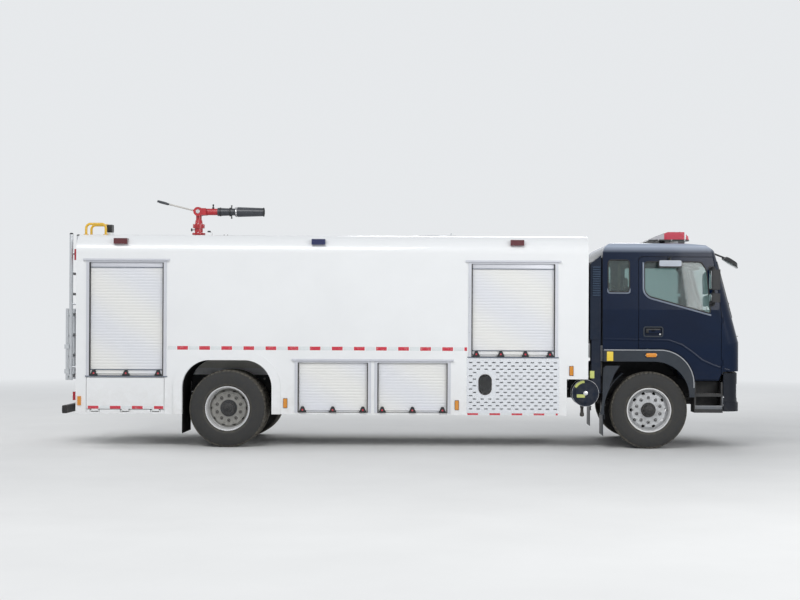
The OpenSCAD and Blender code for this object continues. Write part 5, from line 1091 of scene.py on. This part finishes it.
def swollen(mesh, most):
    """The mesh blown up by cloth under pressure, no point moved further than the cap."""
    obj = bpy.data.objects.new("pad_in_work", mesh)
    scene.collection.objects.link(obj)
    finer = obj.modifiers.new("finer", "REMESH")
    finer.mode = "VOXEL"
    finer.voxel_size = 0.008
    bpy.context.view_layer.update()
    ready = bpy.data.meshes.new_from_object(obj.evaluated_get(bpy.context.evaluated_depsgraph_get()))
    obj.modifiers.remove(finer)
    obj.data = ready
    start = mesh_points(ready)
    cloth = obj.modifiers.new("cloth", "CLOTH")
    cloth.settings.use_pressure = True
    cloth.settings.uniform_pressure_force = 4.0
    cloth.settings.effector_weights.gravity = 0.0
    cloth.settings.quality = 4
    cloth.point_cache.frame_start = 1
    cloth.point_cache.frame_end = CLOTH_FRAMES
    for number in range(1, CLOTH_FRAMES + 1):
        scene.frame_set(number)
    moved = obj.evaluated_get(bpy.context.evaluated_depsgraph_get()).to_mesh()
    step = mesh_points(moved) - start
    length = np.linalg.norm(step, axis=1, keepdims=True)
    put_points(ready, start + step * np.minimum(1.0, most / np.maximum(length, 1e-9)))
    obj.modifiers.remove(cloth)
    scene.frame_set(1)
    bpy.data.objects.remove(obj)
    return ready


def puckered(mesh, channels, facing, deep):
    """Presses sewn channels into the side that faces the sitter: grooves with a Gaussian section across
    X, Y or Z, deepest where the surface faces along the given axis."""
    points = mesh_points(mesh)
    normals = mesh_points(mesh, "normal")
    share = np.clip(normals[:, facing] * 1.3 - 0.1, 0.0, 1.0)
    groove = sum(np.exp(-((points[:, axis] - place) / 0.007) ** 2) for axis, place in channels)
    put_points(mesh, points - normals * (share * np.minimum(groove, 1.0) * deep)[:, None])


def cushion(name, low, high, lean, corner, cap, channels, facing):
    """One padded piece for the right seat and its mirror image for the left one."""
    mesh = welded(name, *pillow_block(low, high, lean, corner))
    mesh = swollen(mesh, cap)
    puckered(mesh, channels, facing, 0.007)
    mesh.shade_smooth()
    mesh.materials.clear()
    made = []
    for hand, side in SIDES.items():
        this = mesh.copy()
        if side > 0:
            put_points(this, mesh_points(mesh) * np.array([1.0, -1.0, 1.0]))
            this.flip_normals()
        obj = link_mesh(name + "_" + hand, this, seat_weave)
        finer = obj.modifiers.new("smooth", "SUBSURF")
        finer.levels = finer.render_levels = 1
        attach(obj, "cab")
        made.append(obj)
    return made


cushions = cushion("seat_cushion", (3.31, -1.03, 1.505), (3.865, -0.545, 1.606), 0.0, 0.04, 0.012,
                   [(1, -0.91), (1, -0.665), (0, 3.43), (0, 3.7)], 2)
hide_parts("seats")
cushion("seat_back", (3.308, -1.022, 1.64), (3.4, -0.558, 2.12), -0.165, 0.038, 0.012,
        [(1, -0.905), (1, -0.675), (2, 1.78), (2, 2.02)], 0)
cushion("seat_headrest", (3.226, -0.905, 2.148), (3.306, -0.675, 2.258), -0.165, 0.034, 0.006, [(2, 2.203)],
        0)
both(pads, "seat_base", grey_plastic, "cab", [(3.6, SEAT_Y, 1.238)], UP, 0.46, 0.5, 0.06, 0.05, 0.01)
both(pads, "seat_pan", grey_plastic, "cab", [(3.59, SEAT_Y, 1.458)], UP, 0.5, 0.54, 0.046, 0.06, 0.012)
FOLDS = ((0.0, 0.0), (0.012, 0.02), (-0.004, 0.04), (0.012, 0.06), (-0.004, 0.08), (0.012, 0.1),
         (-0.004, 0.12), (0.012, 0.14), (0.0, 0.16), (-0.02, 0.16))
BACK_RIMS = ((0.012, 0.2), (-0.006, 0.232), (-0.016, 0.235), (-0.022, 0.225), (-0.026, 0.18))
for hand, side in SIDES.items():
    shape = outline(0.4, 0.44, 0.06)[0, :, ::-1]
    rings = np.stack([np.insert(shape * (1 + wide / 0.2) + [3.6, side * SEAT_Y], 2, 1.298 + high, axis=1)
                      for wide, high in FOLDS])
    skin_rings("seat_bellows_" + hand, rings, seal_rubber, "cab")
    rings = []
    for shift, half in BACK_RIMS:
        ring = outline(half * 2, 0.49, 0.06)[0]
        share = (ring[:, 1] + 0.245) / 0.49
        rings.append(np.stack([3.296 - 0.081 * share + shift, side * SEAT_Y + ring[:, 0],
                               1.62 + 0.49 * share], -1))
    skin_rings("seat_back_shell_" + hand, np.array(rings), grey_plastic, "cab")
    for k, shift in enumerate((-0.06, 0.06)):
        y = side * SEAT_Y + shift
        tube("seat_head_rod_%s_%d" % (hand, k), bright_steel, "cab", [(3.252, y, 2.085), (3.232, y, 2.175)],
             LEFT, 0.006, 0.0)
belt = np.array([(3.03, 1.13, 2.3), (3.18, 1.075, 2.19), (3.29, 1.015, 2.1), (3.38, 0.96, 1.98),
                 (3.42, 0.88, 1.8), (3.425, 0.76, 1.66), (3.44, 0.6, 1.62), (3.42, 0.53, 1.56)])
belt_weave = fabric_material("belt_weave", (0.03, 0.03, 0.034), (0.06, 0.06, 0.066), (0.08, 0.08, 0.08),
                             420.0)
both(strip, "seat_belt", belt_weave, "cab", rounded_path(belt, 0.05), (0.9, 0, 0.43), 0.046, 0.0022)
both(pads, "seat_buckle", black_plastic, "cab", [(3.42, 0.52, 1.545)], (0, -1, 0.2),
     0.05, 0.085, 0.024, 0.01, 0.005)
both(pads, "seat_belt_anchor", black_plastic, "cab", [(3.01, 1.15, 2.27)], RIGHT,
     0.06, 0.12, 0.02, 0.016, 0.006)

# Inside the cab: instrument hood, screen, switches and sun visors
pads("instrument_hood", black_plastic, "cab", [(4.08, 0.7, 1.778)], UP, 0.42, 0.16, 0.06, 0.06, 0.02)
pads("dash_screen", grey_plastic, "cab", [(4.036, 0.15, 1.69)], BACK, 0.28, 0.12, 0.01, 0.01, 0.003)
pads("dash_switches", black_plastic, "cab", [(4.038, y, 1.59) for y in np.linspace(-0.3, 0.3, 9)], BACK,
     0.048, 0.03, 0.008, 0.006, 0.002)
both(pads, "sun_visor", grey_plastic, "cab", [(4.18, 0.56, 2.545)], (-0.35, 0, -0.94),
     0.62, 0.17, 0.02, 0.02, 0.008)

# Roof: monitor flanges, nozzle ring, roof fittings, manhole
bolts("monitor_plate_bolts", dull_steel, "chassis", circle_of((MONITOR_X, 0, 2.923), 0.128, 8, 0.2), UP,
      0.02, 0.013)
bolts("monitor_flange_bolts", bright_steel, "chassis", circle_of((MONITOR_X, 0, 2.981), 0.079, 8), UP,
      0.015, 0.01)
bolts("monitor_swivel_bolts", bright_steel, "monitor_swivel", circle_of((MONITOR_X, 0, 3.107), 0.074, 8), UP,
      0.013, 0.009)
both(turned, "monitor_trunnion", bright_steel, "monitor_swivel", [(MONITOR_X, 0.092, ELBOW_Z)], LEFT,
     [(0.029, -0.002), (0.029, 0.005), (0.024, 0.009), (0.011, 0.009), (0.01, 0.005), (0.002, 0.005)])
ring_at = np.array([-2.47, 0, ELBOW_Z])
ring_bolts = circle_of(ring_at, 0.066, 8, 0.39, (1, 2))
hoop("nozzle_ring", bright_steel, "monitor_barrel", ring_at, AHEAD,
     [(0.0625, -0.008), (0.066, -0.006), (0.066, 0.006), (0.0625, 0.008)], 64)
bolts("nozzle_ring_bolts", bright_steel, "monitor_barrel", ring_bolts, ring_bolts - ring_at, 0.012, 0.01)
for hand, side in SIDES.items():
    turned("nozzle_pin_" + hand, black_plastic, "monitor_barrel", [(-2.54, 0.0, ELBOW_Z + side * 0.05)],
           (0, 0, side), [(0.008, 0.0), (0.008, 0.03), (0.012, 0.034), (0.012, 0.043), (0.006, 0.047)], 20)
for x in (-2.7, -2.56):
    hoop("nozzle_band_%d" % round(-x * 1000), black_plastic, "monitor_barrel", (x, 0, ELBOW_Z), AHEAD,
         [(0.05, -0.01), (0.064, -0.008), (0.064, 0.008), (0.05, 0.01)], 64)
mouth = np.linspace(0, math.pi, 7)
hoop("nozzle_mouth", black_plastic, "monitor_barrel", (-2.078, 0, ELBOW_Z), AHEAD,
     [(0.0575 + 0.008 * math.cos(t), 0.01 * math.sin(t)) for t in mouth] + [(0.048, -0.004), (0.066, -0.004)],
     64)
turned("monitor_lever_boss", black_plastic, "monitor_barrel", [(-2.806, 0.0, ELBOW_Z + 0.046)], UP,
       [(0.016, 0.0), (0.016, 0.018), (0.01, 0.022), (0.008, 0.04), (0.013, 0.046), (0.013, 0.058),
        (0.006, 0.064)], 24)
tube("monitor_drain_rod", dull_steel, "chassis", [(-3.066, 0, 3.029), (-3.108, 0, 3.029)], UP, 0.007, 0.0)
turned("monitor_drain_knob", black_plastic, "chassis", [(-3.104, 0, 3.029)], BACK,
       [(0.01, 0.0), (0.022, 0.004), (0.024, 0.012), (0.021, 0.02), (0.008, 0.023)], 24)
pads("roof_junction_box", white_paint, "chassis", [(-2.838, -0.16, 2.896)], UP,
     0.105, 0.09, 0.085, 0.012, 0.006)
turned("roof_junction_knob", black_plastic, "chassis", [(-2.838, -0.16, 2.98)], UP,
       [(0.02, 0.0), (0.024, 0.004), (0.024, 0.02), (0.018, 0.027), (0.006, 0.028)], 28)
pads("roof_small_box", white_paint, "chassis", [(-2.598, -0.16, 2.896)], UP, 0.078, 0.07, 0.046, 0.01, 0.005)
rivets("roof_small_box_caps", black_plastic, "chassis", [(-2.622, -0.16, 2.942), (-2.574, -0.16, 2.942)], UP,
       0.011, 0.012)
pads("roof_bar", frame_metal, "chassis", [(-2.439, -0.16, 2.896)], UP, 0.202, 0.05, 0.024, 0.008, 0.004)
hoop("manhole_seal", seal_rubber, "chassis", (0.437, 0.0, 2.933), UP,
     [(0.262, -0.006), (0.27, -0.006), (0.27, 0.003), (0.262, 0.003)], 96)
bolts("manhole_rim_bolts", bright_steel, "manhole_lid", circle_of((0.437, 0, 2.951), 0.262, 12, 0.26), UP,
      0.014, 0.008)
both(strip, "roof_seam", seal_rubber, "chassis",
     [(x, 0.64, 2.8968) for x in (BODY_REAR_X + 0.05, -1.5, 1.0, BODY_FRONT_X - 0.05)], UP, 0.01, 0.0025)
both(rivets, "roof_seam_rivets", panel_metal, "chassis",
     [(x, y, 2.897) for x in np.linspace(-4.35, 2.4, 55) for y in (0.612, 0.668)], UP, 0.0055, 0.0025)
pads("work_lamp_foot", white_paint, "chassis", [(-4.11, -0.812, 2.896)], UP, 0.1, 0.09, 0.04, 0.012, 0.005)
pads("work_lamp_case", black_plastic, "chassis", [(-4.065, -0.812, 2.992)], BACK,
     0.13, 0.105, 0.075, 0.02, 0.01)
pads("work_lamp_lens", clear_lens, "chassis", [(-4.14, -0.812, 2.992)], BACK,
     0.108, 0.084, 0.006, 0.014, 0.003, 0.003)
for name, y in (("work_lamp_yoke", -0.885), ("work_lamp_yoke_left", -0.739)):
    tube(name, white_paint, "chassis", [(-4.1, y, 2.93), (-4.1, y, 2.992)], UP, 0.008, 0.0)

# Body lamps, tail lamps, ladder feet and rear bumper
marks = at_y([(BODY_REAR_X + x, z) for x, z in ((2.848, 0.607), (5.178, 0.59), (6.731, 1.063))], BODY_Y)
both(pads, "marker_bases", seal_rubber, "chassis", marks, LEFT, 0.06, 0.136, 0.004, 0.01, 0.001)
heads = (marks[:, None] + np.array([(0, 0.004, -0.064), (0, 0.004, 0.064)])).reshape(-1, 3)
both(rivets, "marker_screws", bright_steel, "chassis", heads, LEFT, 0.003, 0.002)
for hand, side in SIDES.items():
    for k, (y, mat) in enumerate(((0.86, amber_lens), (0.965, red_lens), (1.07, clear_lens))):
        spot = (-4.531, side * y, 0.686)
        turned("tail_lens_%s_%d" % (hand, k), mat, "chassis", [spot], BACK,
               [(0.044, -0.001), (0.044, 0.004), (0.038, 0.008), (0.02, 0.01), (0.002, 0.0105)], 40)
        hoop("tail_ring_%s_%d" % (hand, k), bright_steel, "chassis", spot, BACK,
             [(0.044, 0.0), (0.049, 0.0), (0.049, 0.005), (0.044, 0.006)], 48)
both(pads, "cab_pillar_bracket", step_grey, "chassis", [(4.345, 1.188, 0.659)], LEFT,
     0.046, 0.156, 0.008, 0.008, 0.003)
both(bolts, "cab_pillar_bolts", bright_steel, "chassis", at_y([(4.345, 0.605), (4.345, 0.713)], 1.196), LEFT,
     0.014, 0.008)
both(bolts, "frame_bolts", dull_steel, "chassis",
     at_y([(x, z) for x in np.linspace(-4.0, 4.0, 29) for z in (0.785, 0.905)], 0.43), LEFT, 0.022, 0.012)
feet = [(-4.463, y, z) for y in (-0.69, -1.07) for z in (1.08, 1.9405, 2.641)]
pads("ladder_feet", ladder_metal, "chassis", feet, BACK, 0.055, 0.11, 0.008, 0.01, 0.002)
bolts("ladder_foot_bolts", bright_steel, "chassis", [(-4.471, y, z + d) for _, y,
                                                     z in feet for d in (-0.038, 0.038)], BACK, 0.013, 0.008)
turned("ladder_rail_caps", black_plastic, "chassis", [(-4.573, -0.69, 2.897), (-4.573, -1.07, 2.897)], UP,
       [(0.0262, 0.0), (0.0262, 0.006), (0.02, 0.016), (0.008, 0.02)])
turned("ladder_rung_grips", seal_rubber, "chassis",
       [(-4.573, y, 0.96 + k * 0.28) for k in range(7) for y in np.linspace(-1.02, -0.74, 9)], LEFT,
       [(0.0145, -0.01), (0.0172, -0.007), (0.0172, 0.007), (0.0145, 0.01)], 16)
bumper_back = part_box("rear_bumper")[0][0]
for k, y in enumerate(np.linspace(-1.05, 1.05, 8)):
    pads("rear_tape_%d" % k, tape_red if k % 2 else tape_white, "chassis", [(bumper_back, y, 0.505)], BACK,
         0.3, 0.05, 0.0008, 0.002, 0.0003)

# Shutter heads, bottom rails and ledges
for k in (0, 3):
    rear, front, low, high = SHUTTERS[k]
    a, b = rear + 0.055, front - 0.055
    for hand, side in SIDES.items():
        tag = "_%s_%d" % (hand, k)
        out = (0, side, 0)
        pads("curtain_head" + tag, frame_metal, "chassis", [((rear + front) / 2, side * 1.2235, high - 0.05)],
             out, front - rear - 0.11, 0.086, 0.006, 0.004, 0.0015)
        for name, x0, x1, y, z, width, thick in (("curtain_head_lip", a, b, 1.2295, high - 0.092, 0.01,
                                                  0.004), ("curtain_rail", a, b, 1.224, low + 0.086, 0.012,
                                                           0.006), ("curtain_ledge", rear - 0.012,
                                                                    front + 0.012, 1.2455, low - 0.004, 0.016,
                                                                    0.012)):
            strip(name + tag, trim_metal, "chassis", [(x0, side * y, z), (x1, side * y, z)], out, width,
                  thick)

# Behind the cab: mat, louvres of the intake, air cleaner fittings, blank labels
mat_rubber = moulded("mat_rubber", (0.016, 0.02, 0.028), rough=0.85, depth=0.3)
pads("cab_rear_mat", mat_rubber, "cab", [(2.6945, 0.0, 2.01)], BACK, 2.33, 1.2, 0.005, 0.04, 0.002)
pads("intake_slats", slat_plastic, "chassis", [(2.609, -1.194, z) for z in np.linspace(2.095, 2.477, 13)],
     (0, -1, -0.45), 0.104, 0.02, 0.012, 0.004, 0.002)
DRUM_X, DRUM_Z = 2.464, 0.76
for name, y, half in (("cleaner_band", -1.188, 0.01), ("cleaner_band_inner", -0.9, 0.012)):
    hoop(name, bright_steel, "chassis", (DRUM_X, y, DRUM_Z), RIGHT,
         [(0.179, -half), (0.1835, -half), (0.1835, half), (0.179, half)], 96)
turned("cleaner_cover_knob", bright_steel, "chassis", [(DRUM_X, -1.227, DRUM_Z)], RIGHT,
       [(0.03, 0.0), (0.03, 0.006), (0.012, 0.01), (0.012, 0.018), (0.004, 0.02)], 28)
label_green = coated("label_blank", (0.55, 0.6, 0.16), rough=0.4, coat=0.2, dust_top=1.2, dust_share=0.4)
sweep = np.linspace(math.radians(95), math.radians(150), 14)
strip("cleaner_label_arc", label_green, "chassis", at_y(np.stack([DRUM_X + 0.157 * np.cos(sweep),
                                                                  DRUM_Z + 0.157 * np.sin(sweep)], -1),
                                                        -1.2052), RIGHT, 0.034, 0.0012)
pads("cleaner_label", label_green, "chassis", [(2.4, -1.2272, 0.722)], RIGHT,
     0.11, 0.044, 0.001, 0.004, 0.0003)
turned("cleaner_drain", seal_rubber, "chassis", [(2.43, -1.06, 0.592)], DOWN,
       [(0.026, 0.0), (0.026, 0.03), (0.02, 0.05), (0.022, 0.1), (0.03, 0.12), (0.028, 0.15), (0.012, 0.16)],
       28)
pads("frame_plate_blank", label_green, "chassis", [(2.556, -1.181, 1.012)], RIGHT,
     0.06, 0.1, 0.0014, 0.004, 0.0004)


# Floor, light and background
BACKDROP = (0.84, 0.86, 0.88, 1.0)
BACKDROP_STRENGTH = 0.95


def ground():
    """A flat pale disc, its rings wider apart outwards. Far from the truck its colour turns into the
    background's, so that no horizon shows, while the shadows near the truck stay."""
    r = np.linspace(0.0, 1.0, 60)[1:, None] ** 1.6 * 90.0
    angle = np.arange(96) * 2 * math.pi / 96
    x = r * np.cos(angle)
    rings = np.stack([x, r * np.sin(angle), np.full_like(x, -0.0005)], -1)
    f = Finish("floor_grey")
    tone = f.blend(f.span(f.noise(0.7, 6.0), 0.3, 0.7), (0.74, 0.74, 0.73), (0.78, 0.78, 0.77))
    mat = f.put(Base_Color=tone, Roughness=0.9, Normal=f.relief(f.noise(30.0), 0.1, 0.002))
    plain = f.node("Emission", (BACKDROP, BACKDROP_STRENGTH))
    distance = f.calc("SQRT", f.plus(f.calc("POWER", f.axis("X"), 2.0), f.calc("POWER", f.axis("Y"), 2.0)))
    share = f.times(f.span(distance, 8.0, 24.0), f.node("LightPath", output="Is Camera Ray"))
    mixed = f.node("MixShader", (share, f.skin.outputs[0], plain))
    f.tree.links.new(mixed, f.out.inputs[0])
    mesh = bpy.data.meshes.new("floor")
    rows, cols = x.shape
    i = np.arange(rows - 1)[:, None] * cols
    j = np.arange(cols)[None]
    j2 = (j + 1) % cols
    quads = np.stack([i + j, i + cols + j, i + cols + j2, i + j2], -1).reshape(-1, 4)
    mesh.from_pydata(rings.reshape(-1, 3).tolist(), [], quads.tolist() + [list(range(cols))])
    floor = link_mesh("floor", mesh, mat)


ground()


def lamp(name, place, target, power, size):
    data = bpy.data.lights.new(name, "AREA")
    data.shape = "RECTANGLE"
    data.size, data.size_y = size
    data.energy = power
    obj = bpy.data.objects.new(name, data)
    obj.location = place
    obj.rotation_euler = (Vector(target) - Vector(place)).to_track_quat("-Z", "Y").to_euler()
    scene.collection.objects.link(obj)


lamp("key", (-5.0, -15.0, 13.0), (0.0, 0.0, 1.2), 1250.0, (10.0, 6.0))
lamp("side_fill", (9.0, -12.0, 6.0), (1.0, 0.0, 1.3), 620.0, (8.0, 5.0))
lamp("far_side", (3.0, 16.0, 10.0), (0.0, 0.0, 1.2), 800.0, (10.0, 6.0))
lamp("back", (-14.0, 3.0, 9.0), (-2.0, 0.0, 1.5), 480.0, (7.0, 5.0))

# Rays that reach the camera straight, mirrored or through glass see the background, all others the soft light
world = bpy.data.worlds.new("studio")
scene.world = world
world.use_nodes = True
sky = world.node_tree
sky.nodes.clear()
sky_out = sky.nodes.new("ShaderNodeOutputWorld")
ray = [add_node(sky, "LightPath", output="Is %s Ray" % kind) for kind in ("Camera", "Glossy", "Transmission")]
either = add_node(sky, "Math", (ray[0], ray[1]), operation="MAXIMUM")
either = add_node(sky, "Math", (either, ray[2]), operation="MAXIMUM")
light = add_node(sky, "Background", ((0.9, 0.94, 1.0, 1.0), 0.42))
seen = add_node(sky, "Background", (BACKDROP, BACKDROP_STRENGTH))
sky.links.new(add_node(sky, "MixShader", (either, light, seen)), sky_out.inputs[0])
scene.view_settings.view_transform = "Standard"
